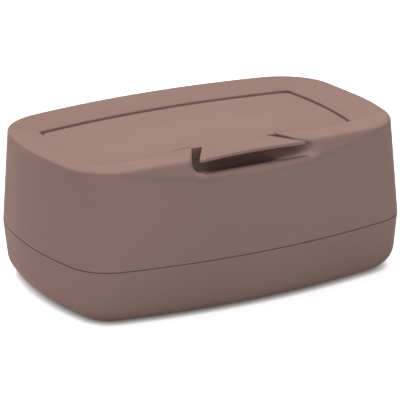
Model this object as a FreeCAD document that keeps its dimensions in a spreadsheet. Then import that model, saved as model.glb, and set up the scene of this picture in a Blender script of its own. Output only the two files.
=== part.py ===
import FreeCAD, Part
import Sketcher
import math
import os
import re

# Sizes of the dispenser in millimetres, as they stand in the sheet.
# X runs along the box, Y from its front to its back, Z up from the table.
SIZES = {
    # Body, measured over its widest line, which is the seam of its two halves.
    "body_length": 236.0,
    "body_width": 157.4,
    "body_height": 95.5,
    "seam_height": 35.5,
    "end_radius": 203.0,
    "side_radius": 435.0,
    "seam_corner_radius": 28.7,
    "top_corner_radius": 37.4,
    "top_inset": 3.1,
    "tray_taper": 5.6,
    "base_edge_radius": 14.5,
    "base_slope": 8.0,
    "wall": 2.2,
    # Rim by which the housing is centred on the tray.
    "spigot_height": 6.0,
    "spigot_root": 5.0,
    "spigot_wall": 1.6,
    "spigot_clearance": 0.75,
    # Slanted front face under the top edge.
    "facet_setback": 13.7,
    "facet_angle": 45.0,
    # Dished top: a narrow flat land, then a slope down to the lid.
    "land_width": 1.2,
    "dish_front_radius": 3000.0,
    "margin_step": 1.3,
    # Lid.
    "lid_end_margin": 27.5,
    "lid_back_margin": 27.4,
    "lid_front_margin": 38.0,
    "lid_end_radius": 260.0,
    "lid_side_radius": 468.0,
    "lid_corner_radius": 7.0,
    "lid_drop": 5.5,
    "lid_thickness": 2.4,
    "lid_gap": 0.8,
    "recess_corner_radius": 2.5,
    "ledge_width": 3.2,
    "ledge_clearance": 0.2,
    "pan_depth": 5.1,
    "pan_corner_radius": 5.0,
    "trough_depth": 5.0,
    "trough_reach": 11.0,
    "trough_end_inset": 2.9,
    # Opening through which a wipe is drawn, and the collar round it.
    "opening_end_margin": 20.5,
    "opening_back_margin": 12.0,
    "opening_front_margin": 12.7,
    "opening_end_flat": 6.0,
    "collar_wall": 1.8,
    # Seal under the lid and the two ribs that hold it.
    "seal_width": 4.0,
    "seal_height": 1.6,
    "seal_squeeze_gap": 0.3,
    "plug_clearance": 1.5,
    "rib_wall": 1.4,
    "plug_rib_height": 3.1,
    "outer_rib_height": 1.2,
    "rib_gap": 0.2,
    # Hinge.
    "hinge_setback": 10.3,
    "hinge_drop": 1.4,
    "pin_radius": 0.8,
    "pin_length": 23.0,
    "pin_clearance": 0.04,
    "pin_in_lid": 15.0,
    "lid_boss_length": 16.0,
    "lid_boss_width": 5.0,
    "lid_boss_height": 1.8,
    "lid_boss_setback": 2.0,
    "wall_boss_length": 8.0,
    "wall_boss_width": 7.0,
    "wall_boss_height": 6.0,
    # Lifting tab.
    "tab_root_half": 23.0,
    "tab_neck_half": 24.5,
    "tab_front_half": 36.0,
    "tab_thickness": 2.2,
    "tab_setback": 12.7,
    "tab_root_depth": 7.7,
    "tab_neck_rise": 2.0,
    "tab_front_rise": 3.3,
    "tab_arch": 1.4,
    "tab_neck_arch": 0.4,
    # Finger scoop under the tab: four sections from its back wall to the front.
    # A setback is measured from the widest line of the front, and below nothing in front of it.
    "scoop_back_setback": 35.2,
    "scoop_back_half": 29.0,
    "scoop_back_floor": 11.0,
    "scoop_back_radius": 5.0,
    "scoop_hollow_setback": 20.7,
    "scoop_hollow_half": 35.5,
    "scoop_hollow_floor": 12.0,
    "scoop_hollow_radius": 7.0,
    "scoop_lip_setback": 8.7,
    "scoop_lip_half": 41.0,
    "scoop_lip_floor": 9.3,
    "scoop_lip_radius": 9.0,
    "scoop_mouth_setback": -2.3,
    "scoop_mouth_half": 51.0,
    "scoop_mouth_floor": 15.5,
    "scoop_mouth_radius": 12.0,
    # Feet.
    "foot_radius": 8.0,
    "foot_proud": 0.8,
    "foot_sunk": 1.2,
    "foot_clearance": 0.2,
    "foot_end_margin": 30.0,
    "foot_side_margin": 36.7,
    # Weighted plate that lies on the wipes.
    "plate_end_margin": 21.0,
    "plate_side_margin": 25.7,
    "plate_corner_radius": 22.0,
    "plate_base_height": 2.0,
    "plate_rim_height": 7.0,
    "plate_rim_wall": 1.8,
    "plate_lift": 0.3,
    "slot_length": 74.0,
    "slot_width": 14.0,
    "slot_collar_wall": 1.8,
    "cover_thickness": 1.6,
    "cover_gap": 0.25,
    "weight_length": 46.0,
    "weight_side_margin": 18.0,
    "weight_height": 4.2,
    "weight_corner_radius": 6.0,
    "weight_end_margin": 33.0,
    "weight_gap": 0.3,
    "weight_fence_wall": 1.4,
    # One overrun for every cut that passes out of its piece.
    "overrun": 2.0,
}

# Lines that follow from the sizes, so that pieces which belong together keep together.
LINES = {
    "lid_back_reach": "body_width / 2 - lid_back_margin",
    "lid_front_reach": "body_width / 2 - lid_front_margin",
    "hinge_reach": "lid_back_reach - hinge_setback",
    "trough_front": "hinge_reach - trough_reach",
    "opening_half": "body_length / 2 - lid_end_margin - opening_end_margin",
    "opening_back": "trough_front - opening_back_margin",
    "opening_front": "lid_front_reach - opening_front_margin",
    "opening_radius": "(opening_back + opening_front - opening_end_flat) / 2",
    "tab_reach": "body_width / 2 - tab_setback",
    "tab_root_reach": "lid_front_reach - tab_root_depth",
    "scoop_back": "body_width / 2 - scoop_back_setback",
    "scoop_hollow": "body_width / 2 - scoop_hollow_setback",
    "scoop_lip": "body_width / 2 - scoop_lip_setback",
    "scoop_mouth": "body_width / 2 - scoop_mouth_setback",
    "foot_spread_x": "body_length / 2 - foot_end_margin",
    "foot_spread_y": "body_width / 2 - foot_side_margin",
    "plate_half_length": "body_length / 2 - plate_end_margin",
    "plate_half_width": "body_width / 2 - plate_side_margin",
    "weight_half_width": "plate_half_width - weight_side_margin",
    "weight_offset": "plate_half_length - weight_end_margin",
}

document = FreeCAD.newDocument("wipes_dispenser")
sheet = document.addObject("Spreadsheet::Sheet", "Sizes")
for row, (alias, number) in enumerate(SIZES.items(), start=1):
    sheet.set("A%d" % row, alias.replace("_", " "))
    sheet.set("B%d" % row, str(number))
    sheet.setAlias("B%d" % row, alias)
document.recompute()


def formula(text):
    """Turns the words of a formula into references to the sheet's cells."""

    def reference(word):
        if word[0] in LINES:
            return "(" + formula(LINES[word[0]]) + ")"
        return "Sizes." + word[0] if word[0] in SIZES else word[0]

    return re.sub("[a-z_]+", reference, text)


def value(text):
    """Value of a formula with the sheet's present sizes."""
    result = sheet.evalExpression(formula(text))
    return float(getattr(result, "Value", result))


def bind(item, path, text):
    """Ties one property of an object to a formula of the sheet."""
    item.setExpression(path, formula(text))


# Levels and lines that several pieces share.
LID_TOP = "(body_height - lid_drop)"
LID_UNDERSIDE = "(body_height - lid_drop - lid_thickness)"
LEDGE = "(body_height - lid_drop - lid_thickness - ledge_clearance)"
PAN_FLOOR = "(body_height - lid_drop - lid_thickness - pan_depth)"
TROUGH_FLOOR = "(body_height - lid_drop - lid_thickness - pan_depth - trough_depth)"
COLLAR_TOP = "(body_height - lid_drop - lid_thickness - seal_height - seal_squeeze_gap)"
HINGE_HEIGHT = "(body_height - lid_drop - hinge_drop)"
PLATE_FLOOR = "(foot_proud + wall + plate_lift)"
PLATE_TOP = "(foot_proud + wall + plate_lift + plate_base_height)"
TRAY_SLOPE = "tan(tray_taper * 1 deg)"
HALF_LENGTH = "(body_length / 2)"
HALF_WIDTH = "(body_width / 2)"
LID_HALF = "(body_length / 2 - lid_end_margin)"
PLUG_INSET = "-1 * (plug_clearance + rib_wall)"
SEAL_INSET = "(collar_wall - seal_width) / 2"

# Ends of a hinge pin, and of the boss round it, measured from the middle of the box.
PIN_INNER = "(" + LID_HALF + " - pin_in_lid - trough_end_inset - lid_boss_setback)"
PIN_OUTER = PIN_INNER + " + pin_length"
PIN_BOSS_OUTER = PIN_OUTER + " + pin_radius"

# Share of the body's length under which a distance counts as nothing.
NOTHING_SHARE = 1e-9


def new_body(label):
    """Empty body whose origin is the part's own origin."""
    body = document.addObject("PartDesign::Body", label)
    body.Label = label
    return body


def origin_plane(body, role):
    """One of a body's own origin planes."""
    for item in body.Origin.OriginFeatures:
        if item.Role == role:
            return item
    raise ValueError("no such plane: " + role)


def new_sketch(body, name, role="XY_Plane", offset="0"):
    """Sketch on a plane of the body, pushed along the plane's normal."""
    sketch = body.newObject("Sketcher::SketchObject", name)
    sketch.AttachmentSupport = [(origin_plane(body, role), "")]
    sketch.MapMode = "FlatFace"
    sketch.AttachmentOffset = FreeCAD.Placement(
        FreeCAD.Vector(0, 0, value(offset)), FreeCAD.Rotation()
    )
    bind(sketch, "AttachmentOffset.Base.z", offset)
    return sketch


def constrain(sketch, kind, *parts):
    """Adds a constraint without a size."""
    return sketch.addConstraint(Sketcher.Constraint(kind, *parts))


def dimension(sketch, kind, parts, text):
    """Adds a constraint with a size from the sheet."""
    index = sketch.addConstraint(Sketcher.Constraint(kind, *parts, value(text)))
    bind(sketch, "Constraints[%d]" % index, text)
    return index


def place_point(sketch, geometry, point, across, along):
    """Fixes a point of a curve at its distances from the sketch's origin."""
    for kind, text in (("DistanceX", across), ("DistanceY", along)):
        if abs(value(text)) < NOTHING_SHARE * value("body_length"):
            axis = -2 if kind == "DistanceX" else -1
            constrain(sketch, "PointOnObject", geometry, point, axis)
        elif value(text) > 0:
            dimension(sketch, kind, (-1, 1, geometry, point), text)
        else:
            dimension(sketch, kind, (geometry, point, -1, 1), "-1 * (" + text + ")")


def arc(centre_x, centre_y, radius, start, end):
    """Arc of a circle in the sketch's plane, anticlockwise."""
    circle = Part.Circle(
        FreeCAD.Vector(centre_x, centre_y, 0), FreeCAD.Vector(0, 0, 1), radius
    )
    return Part.ArcOfCircle(circle, start, end)


def corner_centre(end_x, end_y, end_reach, side_y, side_reach):
    """Centre of the corner arc that lies inside an end arc and a side arc."""
    span = math.hypot(end_x, end_y - side_y)
    along = (span**2 + side_reach**2 - end_reach**2) / (2 * span)
    away = math.sqrt(max(side_reach**2 - along**2, 0.0))
    unit_x = end_x / span
    unit_y = (end_y - side_y) / span
    centres = [
        (unit_x * along - turn * unit_y * away, side_y + unit_y * along + turn * unit_x * away)
        for turn in (1, -1)
    ]
    return max(centres, key=lambda centre: centre[0])


def add_outline(sketch, half_length, back, front, end_radius, back_radius, front_radius, corner):
    """Closed outline of eight tangent arcs: two ends, two sides and four corners."""
    half, rear, fore = value(half_length), value(back), value(front)
    end, back_arc, front_arc, turn = (
        value(end_radius), value(back_radius), value(front_radius), value(corner)
    )
    middle = (rear - fore) / 2
    end_x = half - end
    back_y = rear - back_arc
    front_y = front_arc - fore
    back_x, back_c = corner_centre(end_x, middle, end - turn, back_y, back_arc - turn)
    mirrored_x, mirrored_c = corner_centre(end_x, -middle, end - turn, -front_y, front_arc - turn)
    front_x, front_c = mirrored_x, -mirrored_c
    low = math.atan2(front_c - middle, front_x - end_x)
    high = math.atan2(back_c - middle, back_x - end_x)
    rise = math.atan2(back_c - back_y, back_x)
    fall = math.atan2(front_c - front_y, front_x)
    full = 2 * math.pi
    curves = [
        arc(end_x, middle, end, low, high),
        arc(back_x, back_c, turn, high, rise),
        arc(0, back_y, back_arc, rise, math.pi - rise),
        arc(-back_x, back_c, turn, math.pi - rise, math.pi - high),
        arc(-end_x, middle, end, math.pi - high, math.pi - low),
        arc(-front_x, front_c, turn, math.pi - low, math.pi - fall),
        arc(0, front_y, front_arc, math.pi - fall, full + fall),
        arc(front_x, front_c, turn, full + fall, full + low),
    ]
    first = sketch.GeometryCount
    sketch.addGeometry(curves, False)
    count = len(curves)
    for index in range(count):
        constrain(sketch, "Tangent", first + index, 2, first + (index + 1) % count, 1)
    radii = (end_radius, corner, back_radius, corner, end_radius, corner, front_radius, corner)
    for index, text in enumerate(radii):
        dimension(sketch, "Radius", (first + index,), text)
    shift = "((" + back + ") - (" + front + ")) / 2"
    place_point(sketch, first, 3, "(" + half_length + ") - (" + end_radius + ")", shift)
    place_point(sketch, first + 4, 3, "(" + end_radius + ") - (" + half_length + ")", shift)
    place_point(sketch, first + 2, 3, "0", "(" + back + ") - (" + back_radius + ")")
    place_point(sketch, first + 6, 3, "0", "(" + front_radius + ") - (" + front + ")")
    return first


def add_rounded_box(sketch, half_length, low, high, radius, shift="0"):
    """Rectangle with four rounded corners, from low to high."""
    half, bottom, top, turn = value(half_length), value(low), value(high), value(radius)
    middle = value(shift)
    left, right = middle - half, middle + half
    point = FreeCAD.Vector
    quarter = math.pi / 2
    curves = [
        Part.LineSegment(point(left + turn, bottom, 0), point(right - turn, bottom, 0)),
        arc(right - turn, bottom + turn, turn, -quarter, 0),
        Part.LineSegment(point(right, bottom + turn, 0), point(right, top - turn, 0)),
        arc(right - turn, top - turn, turn, 0, quarter),
        Part.LineSegment(point(right - turn, top, 0), point(left + turn, top, 0)),
        arc(left + turn, top - turn, turn, quarter, 2 * quarter),
        Part.LineSegment(point(left, top - turn, 0), point(left, bottom + turn, 0)),
        arc(left + turn, bottom + turn, turn, 2 * quarter, 3 * quarter),
    ]
    first = sketch.GeometryCount
    sketch.addGeometry(curves, False)
    count = len(curves)
    for index in range(count):
        constrain(sketch, "Tangent", first + index, 2, first + (index + 1) % count, 1)
    constrain(sketch, "Horizontal", first)
    constrain(sketch, "Vertical", first + 2)
    for index in (3, 5, 7):
        constrain(sketch, "Equal", first + 1, first + index)
    dimension(sketch, "Radius", (first + 1,), radius)
    place_point(
        sketch, first + 3, 3,
        "(" + shift + ") + (" + half_length + ") - (" + radius + ")",
        "(" + high + ") - (" + radius + ")",
    )
    place_point(
        sketch, first + 7, 3,
        "(" + shift + ") - (" + half_length + ") + (" + radius + ")",
        "(" + low + ") + (" + radius + ")",
    )
    return first


def add_circle(sketch, across, along, radius):
    """Circle with its centre at the given distances from the origin."""
    circle = Part.Circle(
        FreeCAD.Vector(value(across), value(along), 0), FreeCAD.Vector(0, 0, 1), value(radius)
    )
    index = sketch.addGeometry(circle, False)
    dimension(sketch, "Radius", (index,), radius)
    place_point(sketch, index, 3, across, along)


def pad(body, name, sketch, length, reverse=False):
    """Solid raised from a sketch."""
    feature = body.newObject("PartDesign::Pad", name)
    feature.Profile = sketch
    feature.Type = "Length"
    bind(feature, "Length", length)
    feature.Reversed = reverse
    sketch.Visibility = False
    return feature


def pocket(body, name, sketch, length, reverse=False):
    """Cut sunk from a sketch, against the sketch's normal unless reversed."""
    feature = body.newObject("PartDesign::Pocket", name)
    feature.Profile = sketch
    feature.Type = "Length"
    bind(feature, "Length", length)
    feature.Reversed = reverse
    sketch.Visibility = False
    return feature


def loft(body, name, sketches, additive=True, ruled=True):
    """Solid or cut through a row of sketches."""
    kind = "PartDesign::AdditiveLoft" if additive else "PartDesign::SubtractiveLoft"
    feature = body.newObject(kind, name)
    feature.Profile = sketches[0]
    feature.Sections = sketches[1:]
    feature.Ruled = ruled
    return feature


def edges_below(feature, level):
    """Names of the edges of a solid that lie under a level."""
    return [
        "Edge%d" % (index + 1)
        for index, edge in enumerate(feature.Shape.Edges)
        if edge.BoundBox.ZMax < value(level)
    ]


def removed(body, feature):
    """Checks that a cut took something off its body."""
    document.recompute()
    before = feature.BaseFeature.Shape.Volume
    after = feature.Shape.Volume
    if after >= before:
        raise RuntimeError(feature.Name + " cuts nothing from " + body.Label)


def body_outline(body, name, level, inset_x, inset_y, corner, skin="0"):
    """Plan outline of the box at one level, drawn in from its widest line."""
    sketch = new_sketch(body, name, offset=level)
    reach = HALF_WIDTH + " - (" + inset_y + ") - " + skin
    add_outline(
        sketch,
        HALF_LENGTH + " - (" + inset_x + ") - " + skin,
        reach,
        reach,
        "end_radius - " + skin,
        "side_radius - " + skin,
        "side_radius - " + skin,
        corner + " - " + skin,
    )
    return sketch


def lid_outline(body, name, level, grow, corner):
    """Plan outline of the lid, or of what goes round it at a distance."""
    sketch = new_sketch(body, name, offset=level)
    add_outline(
        sketch,
        LID_HALF + " + " + grow,
        "lid_back_reach + " + grow,
        "lid_front_reach + " + grow,
        "lid_end_radius + " + grow,
        "lid_side_radius + " + grow,
        "lid_side_radius + " + grow,
        corner,
    )
    return sketch


def trough_outline(body, name, level, grow):
    """Strip behind the hinge line: a straight front, two ends and the bowed back."""
    sketch = new_sketch(body, name, offset=level)
    reach = "(lid_back_reach + lid_gap + " + grow + ")"
    radius = "(lid_side_radius + lid_gap + " + grow + ")"
    half = "(" + LID_HALF + " + lid_gap - trough_end_inset + " + grow + ")"
    front = "(trough_front - " + grow + ")"
    half_value, front_value, radius_value = value(half), value(front), value(radius)
    centre_y = value(reach) - radius_value
    back_y = centre_y + math.sqrt(radius_value**2 - half_value**2)
    point = FreeCAD.Vector
    side = math.acos(half_value / radius_value)
    curves = [
        Part.LineSegment(point(-half_value, front_value, 0), point(half_value, front_value, 0)),
        Part.LineSegment(point(half_value, front_value, 0), point(half_value, back_y, 0)),
        arc(0, centre_y, radius_value, side, math.pi - side),
        Part.LineSegment(point(-half_value, back_y, 0), point(-half_value, front_value, 0)),
    ]
    sketch.addGeometry(curves, False)
    for index in range(4):
        constrain(sketch, "Coincident", index, 2, (index + 1) % 4, 1)
    constrain(sketch, "Horizontal", 0)
    constrain(sketch, "Vertical", 1)
    constrain(sketch, "Vertical", 3)
    dimension(sketch, "Radius", (2,), radius)
    place_point(sketch, 2, 3, "0", reach + " - " + radius)
    place_point(sketch, 0, 2, half, front)
    dimension(sketch, "DistanceX", (0, 1, -1, 1), half)
    return sketch


def scoop_section(body, name, reach, half, floor, radius, skin):
    """One upright section of the finger scoop, open above the box."""
    sketch = new_sketch(body, name, role="XZ_Plane", offset=reach)
    add_rounded_box(
        sketch,
        half + " + " + skin,
        "body_height - " + floor + " - " + skin,
        "body_height + body_height / 2",
        radius + " + " + skin,
    )
    return sketch


SCOOP_SECTIONS = ("scoop_back", "scoop_hollow", "scoop_lip", "scoop_mouth")


def moulded_form(body, skin):
    """Form of the housing, every face pushed inwards by the skin.

    With no skin it is the outside. With the wall as skin it is the hollow inside.
    """
    below = "0" if skin == "0" else "overrun"
    label = body.Label
    top = "body_height - " + skin
    foot = body_outline(body, label + "_foot", "seam_height - " + below, "0", "0",
                        "seam_corner_radius", skin)
    crown = body_outline(body, label + "_crown", top, "top_inset", "top_inset",
                         "top_corner_radius", skin)
    loft(body, label + "_walls", [foot, crown])

    # The slanted face runs along the whole front edge.
    slant = new_sketch(body, label + "_slant", role="YZ_Plane")
    edge = "(" + HALF_WIDTH + " - facet_setback - " + skin + " * tan(facet_angle * 1 deg / 2))"
    reach = "facet_setback + overrun"
    start_y, start_z = -value(edge), value(top)
    run = value(reach)
    drop = run * math.tan(math.radians(value("facet_angle")))
    point = FreeCAD.Vector
    corners = [
        point(start_y, start_z, 0),
        point(start_y - run, start_z - drop, 0),
        point(start_y - run, start_z + run, 0),
        point(start_y, start_z + run, 0),
    ]
    sides = [Part.LineSegment(corners[i], corners[(i + 1) % 4]) for i in range(4)]
    slant.addGeometry(sides, False)
    for index in range(4):
        constrain(slant, "Coincident", index, 2, (index + 1) % 4, 1)
    constrain(slant, "Vertical", 1)
    constrain(slant, "Horizontal", 2)
    constrain(slant, "Vertical", 3)
    place_point(slant, 0, 1, "-1 * " + edge, top)
    dimension(slant, "DistanceX", (0, 2, 0, 1), reach)
    dimension(slant, "DistanceY", (0, 2, 0, 1), "(" + reach + ") * tan(facet_angle * 1 deg)")
    dimension(slant, "DistanceY", (0, 1, 2, 2), reach)
    cut = pocket(body, label + "_facet", slant, "body_length")
    cut.Midplane = True
    removed(body, cut)

    # The dished top slopes from a narrow land down to the lid's recess.
    rim = new_sketch(body, label + "_rim", offset=top)
    land = "(top_inset + land_width)"
    add_outline(
        rim,
        HALF_LENGTH + " - " + land,
        HALF_WIDTH + " - " + land,
        HALF_WIDTH + " - facet_setback - land_width",
        "end_radius",
        "side_radius",
        "dish_front_radius",
        "top_corner_radius",
    )
    brim = lid_outline(
        body, label + "_brim", LID_TOP + " + margin_step - " + skin, "lid_gap",
        "recess_corner_radius",
    )
    removed(body, loft(body, label + "_dish", [rim, brim], additive=False))

    # Recess of the lid in three depths: ledge, pan and hinge trough.
    grow = "lid_gap + " + skin
    mouth = lid_outline(body, label + "_mouth", "body_height", grow,
                        "recess_corner_radius + " + skin)
    removed(body, pocket(body, label + "_recess", mouth, "body_height - " + LEDGE + " + " + skin))
    inner = lid_outline(body, label + "_inner", "body_height", "lid_gap - ledge_width + " + skin,
                        "pan_corner_radius + " + skin)
    removed(body, pocket(body, label + "_pan", inner, "body_height - " + PAN_FLOOR + " + " + skin))
    strip = trough_outline(body, label + "_strip", "body_height", skin)
    removed(body, pocket(body, label + "_trough", strip,
                         "body_height - " + TROUGH_FLOOR + " + " + skin))

    # Finger scoop through the front edge.
    sections = [
        scoop_section(
            body, label + "_" + name, name + (" - " + skin if name == "scoop_back" else ""),
            name + "_half", name + "_floor", name + "_radius", skin,
        )
        for name in SCOOP_SECTIONS
    ]
    removed(body, loft(body, label + "_scoop", sections, additive=False, ruled=(skin != "0")))


def leave_pin_bosses(core):
    """Keeps the hollow out of two blocks, so that the wall is thick round the pins."""
    for side, sign in (("left", "-1 *"), ("right", "1 *")):
        block = new_sketch(core, side + "_boss_plan", role="YZ_Plane",
                           offset=sign + " (" + PIN_BOSS_OUTER + ")")
        add_rounded_box(
            block, "wall_boss_width / 2", HINGE_HEIGHT + " - wall_boss_height / 2",
            "body_height", "pin_radius", "hinge_reach",
        )
        removed(core, pocket(core, side + "_boss", block, "wall_boss_length",
                             reverse=(side == "left")))


def make_upper_housing():
    """Upper shell: moulded form, hollowed by its own form one wall further in."""
    core = new_body("housing_core")
    moulded_form(core, "wall")
    leave_pin_bosses(core)
    body = new_body("upper_housing")
    moulded_form(body, "0")

    # The lid's tab passes over the wall behind the scoop.
    gate = new_sketch(body, "gate_plan", offset="body_height")
    add_rounded_box(gate, "scoop_back_half", "-1 * scoop_back - lid_gap",
                    "-1 * lid_front_reach + lid_gap", "lid_gap / 2")
    removed(body, pocket(body, "gate", gate, "body_height - " + LEDGE))

    # Opening in the pan's floor, with a collar that meets the seal.
    hollow = body.newObject("PartDesign::Boolean", "hollow")
    hollow.Type = "Cut"
    hollow.addObject(core)
    hole = new_sketch(body, "opening_plan", offset=PAN_FLOOR)
    add_rounded_box(hole, "opening_half", "-1 * opening_front", "opening_back", "opening_radius")
    removed(body, pocket(body, "opening", hole, "wall + overrun"))
    ring = new_sketch(body, "collar_plan", offset=PAN_FLOOR + " - wall / 2")
    add_rounded_box(ring, "opening_half", "-1 * opening_front", "opening_back", "opening_radius")
    add_rounded_box(
        ring, "opening_half + collar_wall", "-1 * opening_front - collar_wall",
        "opening_back + collar_wall", "opening_radius + collar_wall",
    )
    pad(body, "collar", ring, COLLAR_TOP + " - " + PAN_FLOOR + " + wall / 2")

    # Bores for the outer ends of the hinge pins.
    bores = new_sketch(body, "bore_plan", role="YZ_Plane")
    add_circle(bores, "hinge_reach", HINGE_HEIGHT, "pin_radius + pin_clearance")
    cut = pocket(body, "bores", bores, "2 * (" + PIN_OUTER + ") + 2 * pin_clearance")
    cut.Midplane = True
    removed(body, cut)
    return body


def tray_form(body, skin):
    """Tapered bowl with a rounded foot, every face pushed inwards by the skin.

    The hollow has a sloped edge in place of the rounded one.
    """
    label = body.Label
    above = "0" if skin == "0" else "overrun"
    spread = "-1 * " + above + " * " + TRAY_SLOPE
    rim = body_outline(body, label + "_rim", "seam_height + " + above, spread, spread,
                       "seam_corner_radius", skin)
    walls = pad(body, label + "_walls", rim,
                "seam_height + " + above + " - foot_proud - " + skin, reverse=True)
    bind(walls, "TaperAngle", "-1 * tray_taper")
    document.recompute()
    foot_edges = edges_below(walls, "foot_proud + " + skin + " + wall / 2")
    if skin == "0":
        rounding = body.newObject("PartDesign::Fillet", label + "_rounding")
        bind(rounding, "Radius", "base_edge_radius")
    else:
        rounding = body.newObject("PartDesign::Chamfer", label + "_slope")
        bind(rounding, "Size", "base_slope")
    rounding.Base = (walls, foot_edges)
    document.recompute()


def make_base_tray():
    """Lower shell: a tapered bowl, hollowed, with a spigot on its rim."""
    core = new_body("tray_core")
    tray_form(core, "wall")
    body = new_body("base_tray")
    tray_form(body, "0")
    hollow = body.newObject("PartDesign::Boolean", "tray_hollow")
    hollow.Type = "Cut"
    hollow.addObject(core)
    document.recompute()

    # The spigot stands inside the housing and is rooted in the tray's wall.
    outer = "(wall + spigot_clearance)"
    inner = "(" + outer + " + spigot_wall)"
    for name, outside, height in (
        ("root", "(wall / 2)", "spigot_root"),
        ("spigot", outer, "spigot_root + spigot_height"),
    ):
        ring = new_sketch(body, name + "_plan", offset="seam_height - spigot_root")
        for inset in (outside, inner):
            add_outline(
                ring, HALF_LENGTH + " - " + inset, HALF_WIDTH + " - " + inset,
                HALF_WIDTH + " - " + inset, "end_radius - " + inset,
                "side_radius - " + inset, "side_radius - " + inset,
                "seam_corner_radius - " + inset,
            )
        pad(body, name, ring, height)

    # Round seats for the feet.
    seats = new_sketch(body, "seat_plan", offset="foot_proud")
    for across in ("foot_spread_x", "-1 * foot_spread_x"):
        for along in ("foot_spread_y", "-1 * foot_spread_y"):
            add_circle(seats, across, along, "foot_radius + foot_clearance")
    removed(body, pocket(body, "seats", seats, "foot_sunk", reverse=True))
    return body


def add_tab_profile(sketch, half, edge, rise, thickness):
    """Cross-section of the tab: a strip whose top and underside are arched alike."""
    across, height, arch, deep = value(half), value(edge), value(rise), value(thickness)
    radius = (across**2 + arch**2) / (2 * arch)
    centre = height + arch - radius
    point = FreeCAD.Vector
    start = math.atan2(height - centre, across)
    curves = [
        arc(0, centre, radius, start, math.pi - start),
        Part.LineSegment(point(-across, height, 0), point(-across, height - deep, 0)),
        arc(0, centre - deep, radius, start, math.pi - start),
        Part.LineSegment(point(across, height - deep, 0), point(across, height, 0)),
    ]
    sketch.addGeometry(curves, False)
    constrain(sketch, "Coincident", 0, 2, 1, 1)
    constrain(sketch, "Coincident", 1, 2, 2, 2)
    constrain(sketch, "Coincident", 2, 1, 3, 1)
    constrain(sketch, "Coincident", 3, 2, 0, 1)
    constrain(sketch, "Vertical", 1)
    constrain(sketch, "Vertical", 3)
    constrain(sketch, "Equal", 0, 2)
    place_point(sketch, 0, 1, half, edge)
    dimension(sketch, "DistanceX", (0, 2, -1, 1), half)
    constrain(sketch, "PointOnObject", 0, 3, -2)
    dimension(sketch, "DistanceY", (1, 2, 1, 1), thickness)
    dimension(
        sketch, "Radius", (0,),
        "((" + half + ")^2 + (" + rise + ")^2) / (2 * (" + rise + "))",
    )


def seal_ring(body, name, level, inset, width):
    """Ring round the opening: its inner edge stands in or out of the collar's bore."""
    ring = new_sketch(body, name, offset=level)
    for grow in (inset, inset + " + " + width):
        add_rounded_box(
            ring, "opening_half + " + grow, "-1 * opening_front - (" + grow + ")",
            "opening_back + " + grow, "opening_radius + " + grow,
        )
    return ring


def make_lid():
    """Flap with its lifting tab, the ribs that hold the seal and the hinge bosses."""
    body = new_body("lid")
    plan = lid_outline(body, "lid_plan", LID_UNDERSIDE, "0", "lid_corner_radius")
    pad(body, "lid_plate", plan, "lid_thickness")

    # The tab climbs from the plate, clears the housing's lip and widens to its front.
    stations = (
        ("tab_root", "tab_root_reach", "tab_root_half", "-1 * tab_neck_arch", "tab_neck_arch"),
        ("tab_neck", "lid_front_reach", "tab_neck_half", "tab_neck_rise", "tab_neck_arch"),
        ("tab_front", "tab_reach", "tab_front_half", "tab_front_rise", "tab_arch"),
    )
    sections = []
    for name, reach, half, lift, arch in stations:
        sketch = new_sketch(body, name, role="XZ_Plane", offset=reach)
        add_tab_profile(sketch, half, LID_TOP + " + " + lift, arch, "tab_thickness")
        sections.append(sketch)
    loft(body, "tab", sections)

    # Plug rib inside the collar, and a low rib outside the seal.
    plug = seal_ring(body, "plug_plan", LID_UNDERSIDE, PLUG_INSET, "rib_wall")
    pad(body, "plug_rib", plug, "plug_rib_height", reverse=True)
    fence = seal_ring(body, "fence_plan", LID_UNDERSIDE, SEAL_INSET + " + seal_width + rib_gap",
                      "rib_wall")
    pad(body, "outer_rib", fence, "outer_rib_height", reverse=True)

    # Bosses round the hinge bores.
    for side, sign in (("left", "-1 *"), ("right", "1 *")):
        block = new_sketch(body, side + "_hinge_plan", offset=LID_UNDERSIDE)
        add_rounded_box(
            block, "lid_boss_length / 2", "hinge_reach - lid_boss_width / 2",
            "hinge_reach + lid_boss_width / 2", "pin_radius",
            sign + " (" + PIN_INNER + " + lid_boss_length / 2 - lid_boss_setback)",
        )
        pad(body, side + "_hinge_boss", block, "lid_boss_height", reverse=True)
    for side, sign in (("left", "-1 *"), ("right", "1 *")):
        bore = new_sketch(body, side + "_bore_plan", role="YZ_Plane",
                          offset=sign + " (" + PIN_INNER + " - 2 * pin_clearance)")
        add_circle(bore, "hinge_reach", HINGE_HEIGHT, "pin_radius + pin_clearance")
        removed(body, pocket(body, side + "_bore", bore, "pin_length",
                             reverse=(side == "right")))
    return body


def make_lid_seal():
    """Soft ring under the lid, over the collar."""
    body = new_body("lid_seal")
    ring = seal_ring(body, "seal_plan", LID_UNDERSIDE, SEAL_INSET, "seal_width")
    pad(body, "seal_ring", ring, "seal_height", reverse=True)
    return body


def make_hinge_pin(label, sign):
    """Plain round pin of the hinge."""
    body = new_body(label)
    plan = new_sketch(body, label + "_plan", role="YZ_Plane",
                      offset=sign + " (" + PIN_INNER + ")")
    add_circle(plan, "hinge_reach", HINGE_HEIGHT, "pin_radius")
    pad(body, label + "_rod", plan, "pin_length", reverse=(sign != "1 *"))
    return body


def make_foot(label, across, along):
    """Non-slip pad, let into the tray's underside."""
    body = new_body(label)
    plan = new_sketch(body, label + "_plan")
    add_circle(plan, across, along, "foot_radius")
    disc = pad(body, label + "_disc", plan, "foot_proud + foot_sunk")
    document.recompute()
    bevel = body.newObject("PartDesign::Chamfer", label + "_edge")
    bevel.Base = (disc, edges_below(disc, "foot_proud / 2"))
    bind(bevel, "Size", "foot_proud / 2")
    return body


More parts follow.
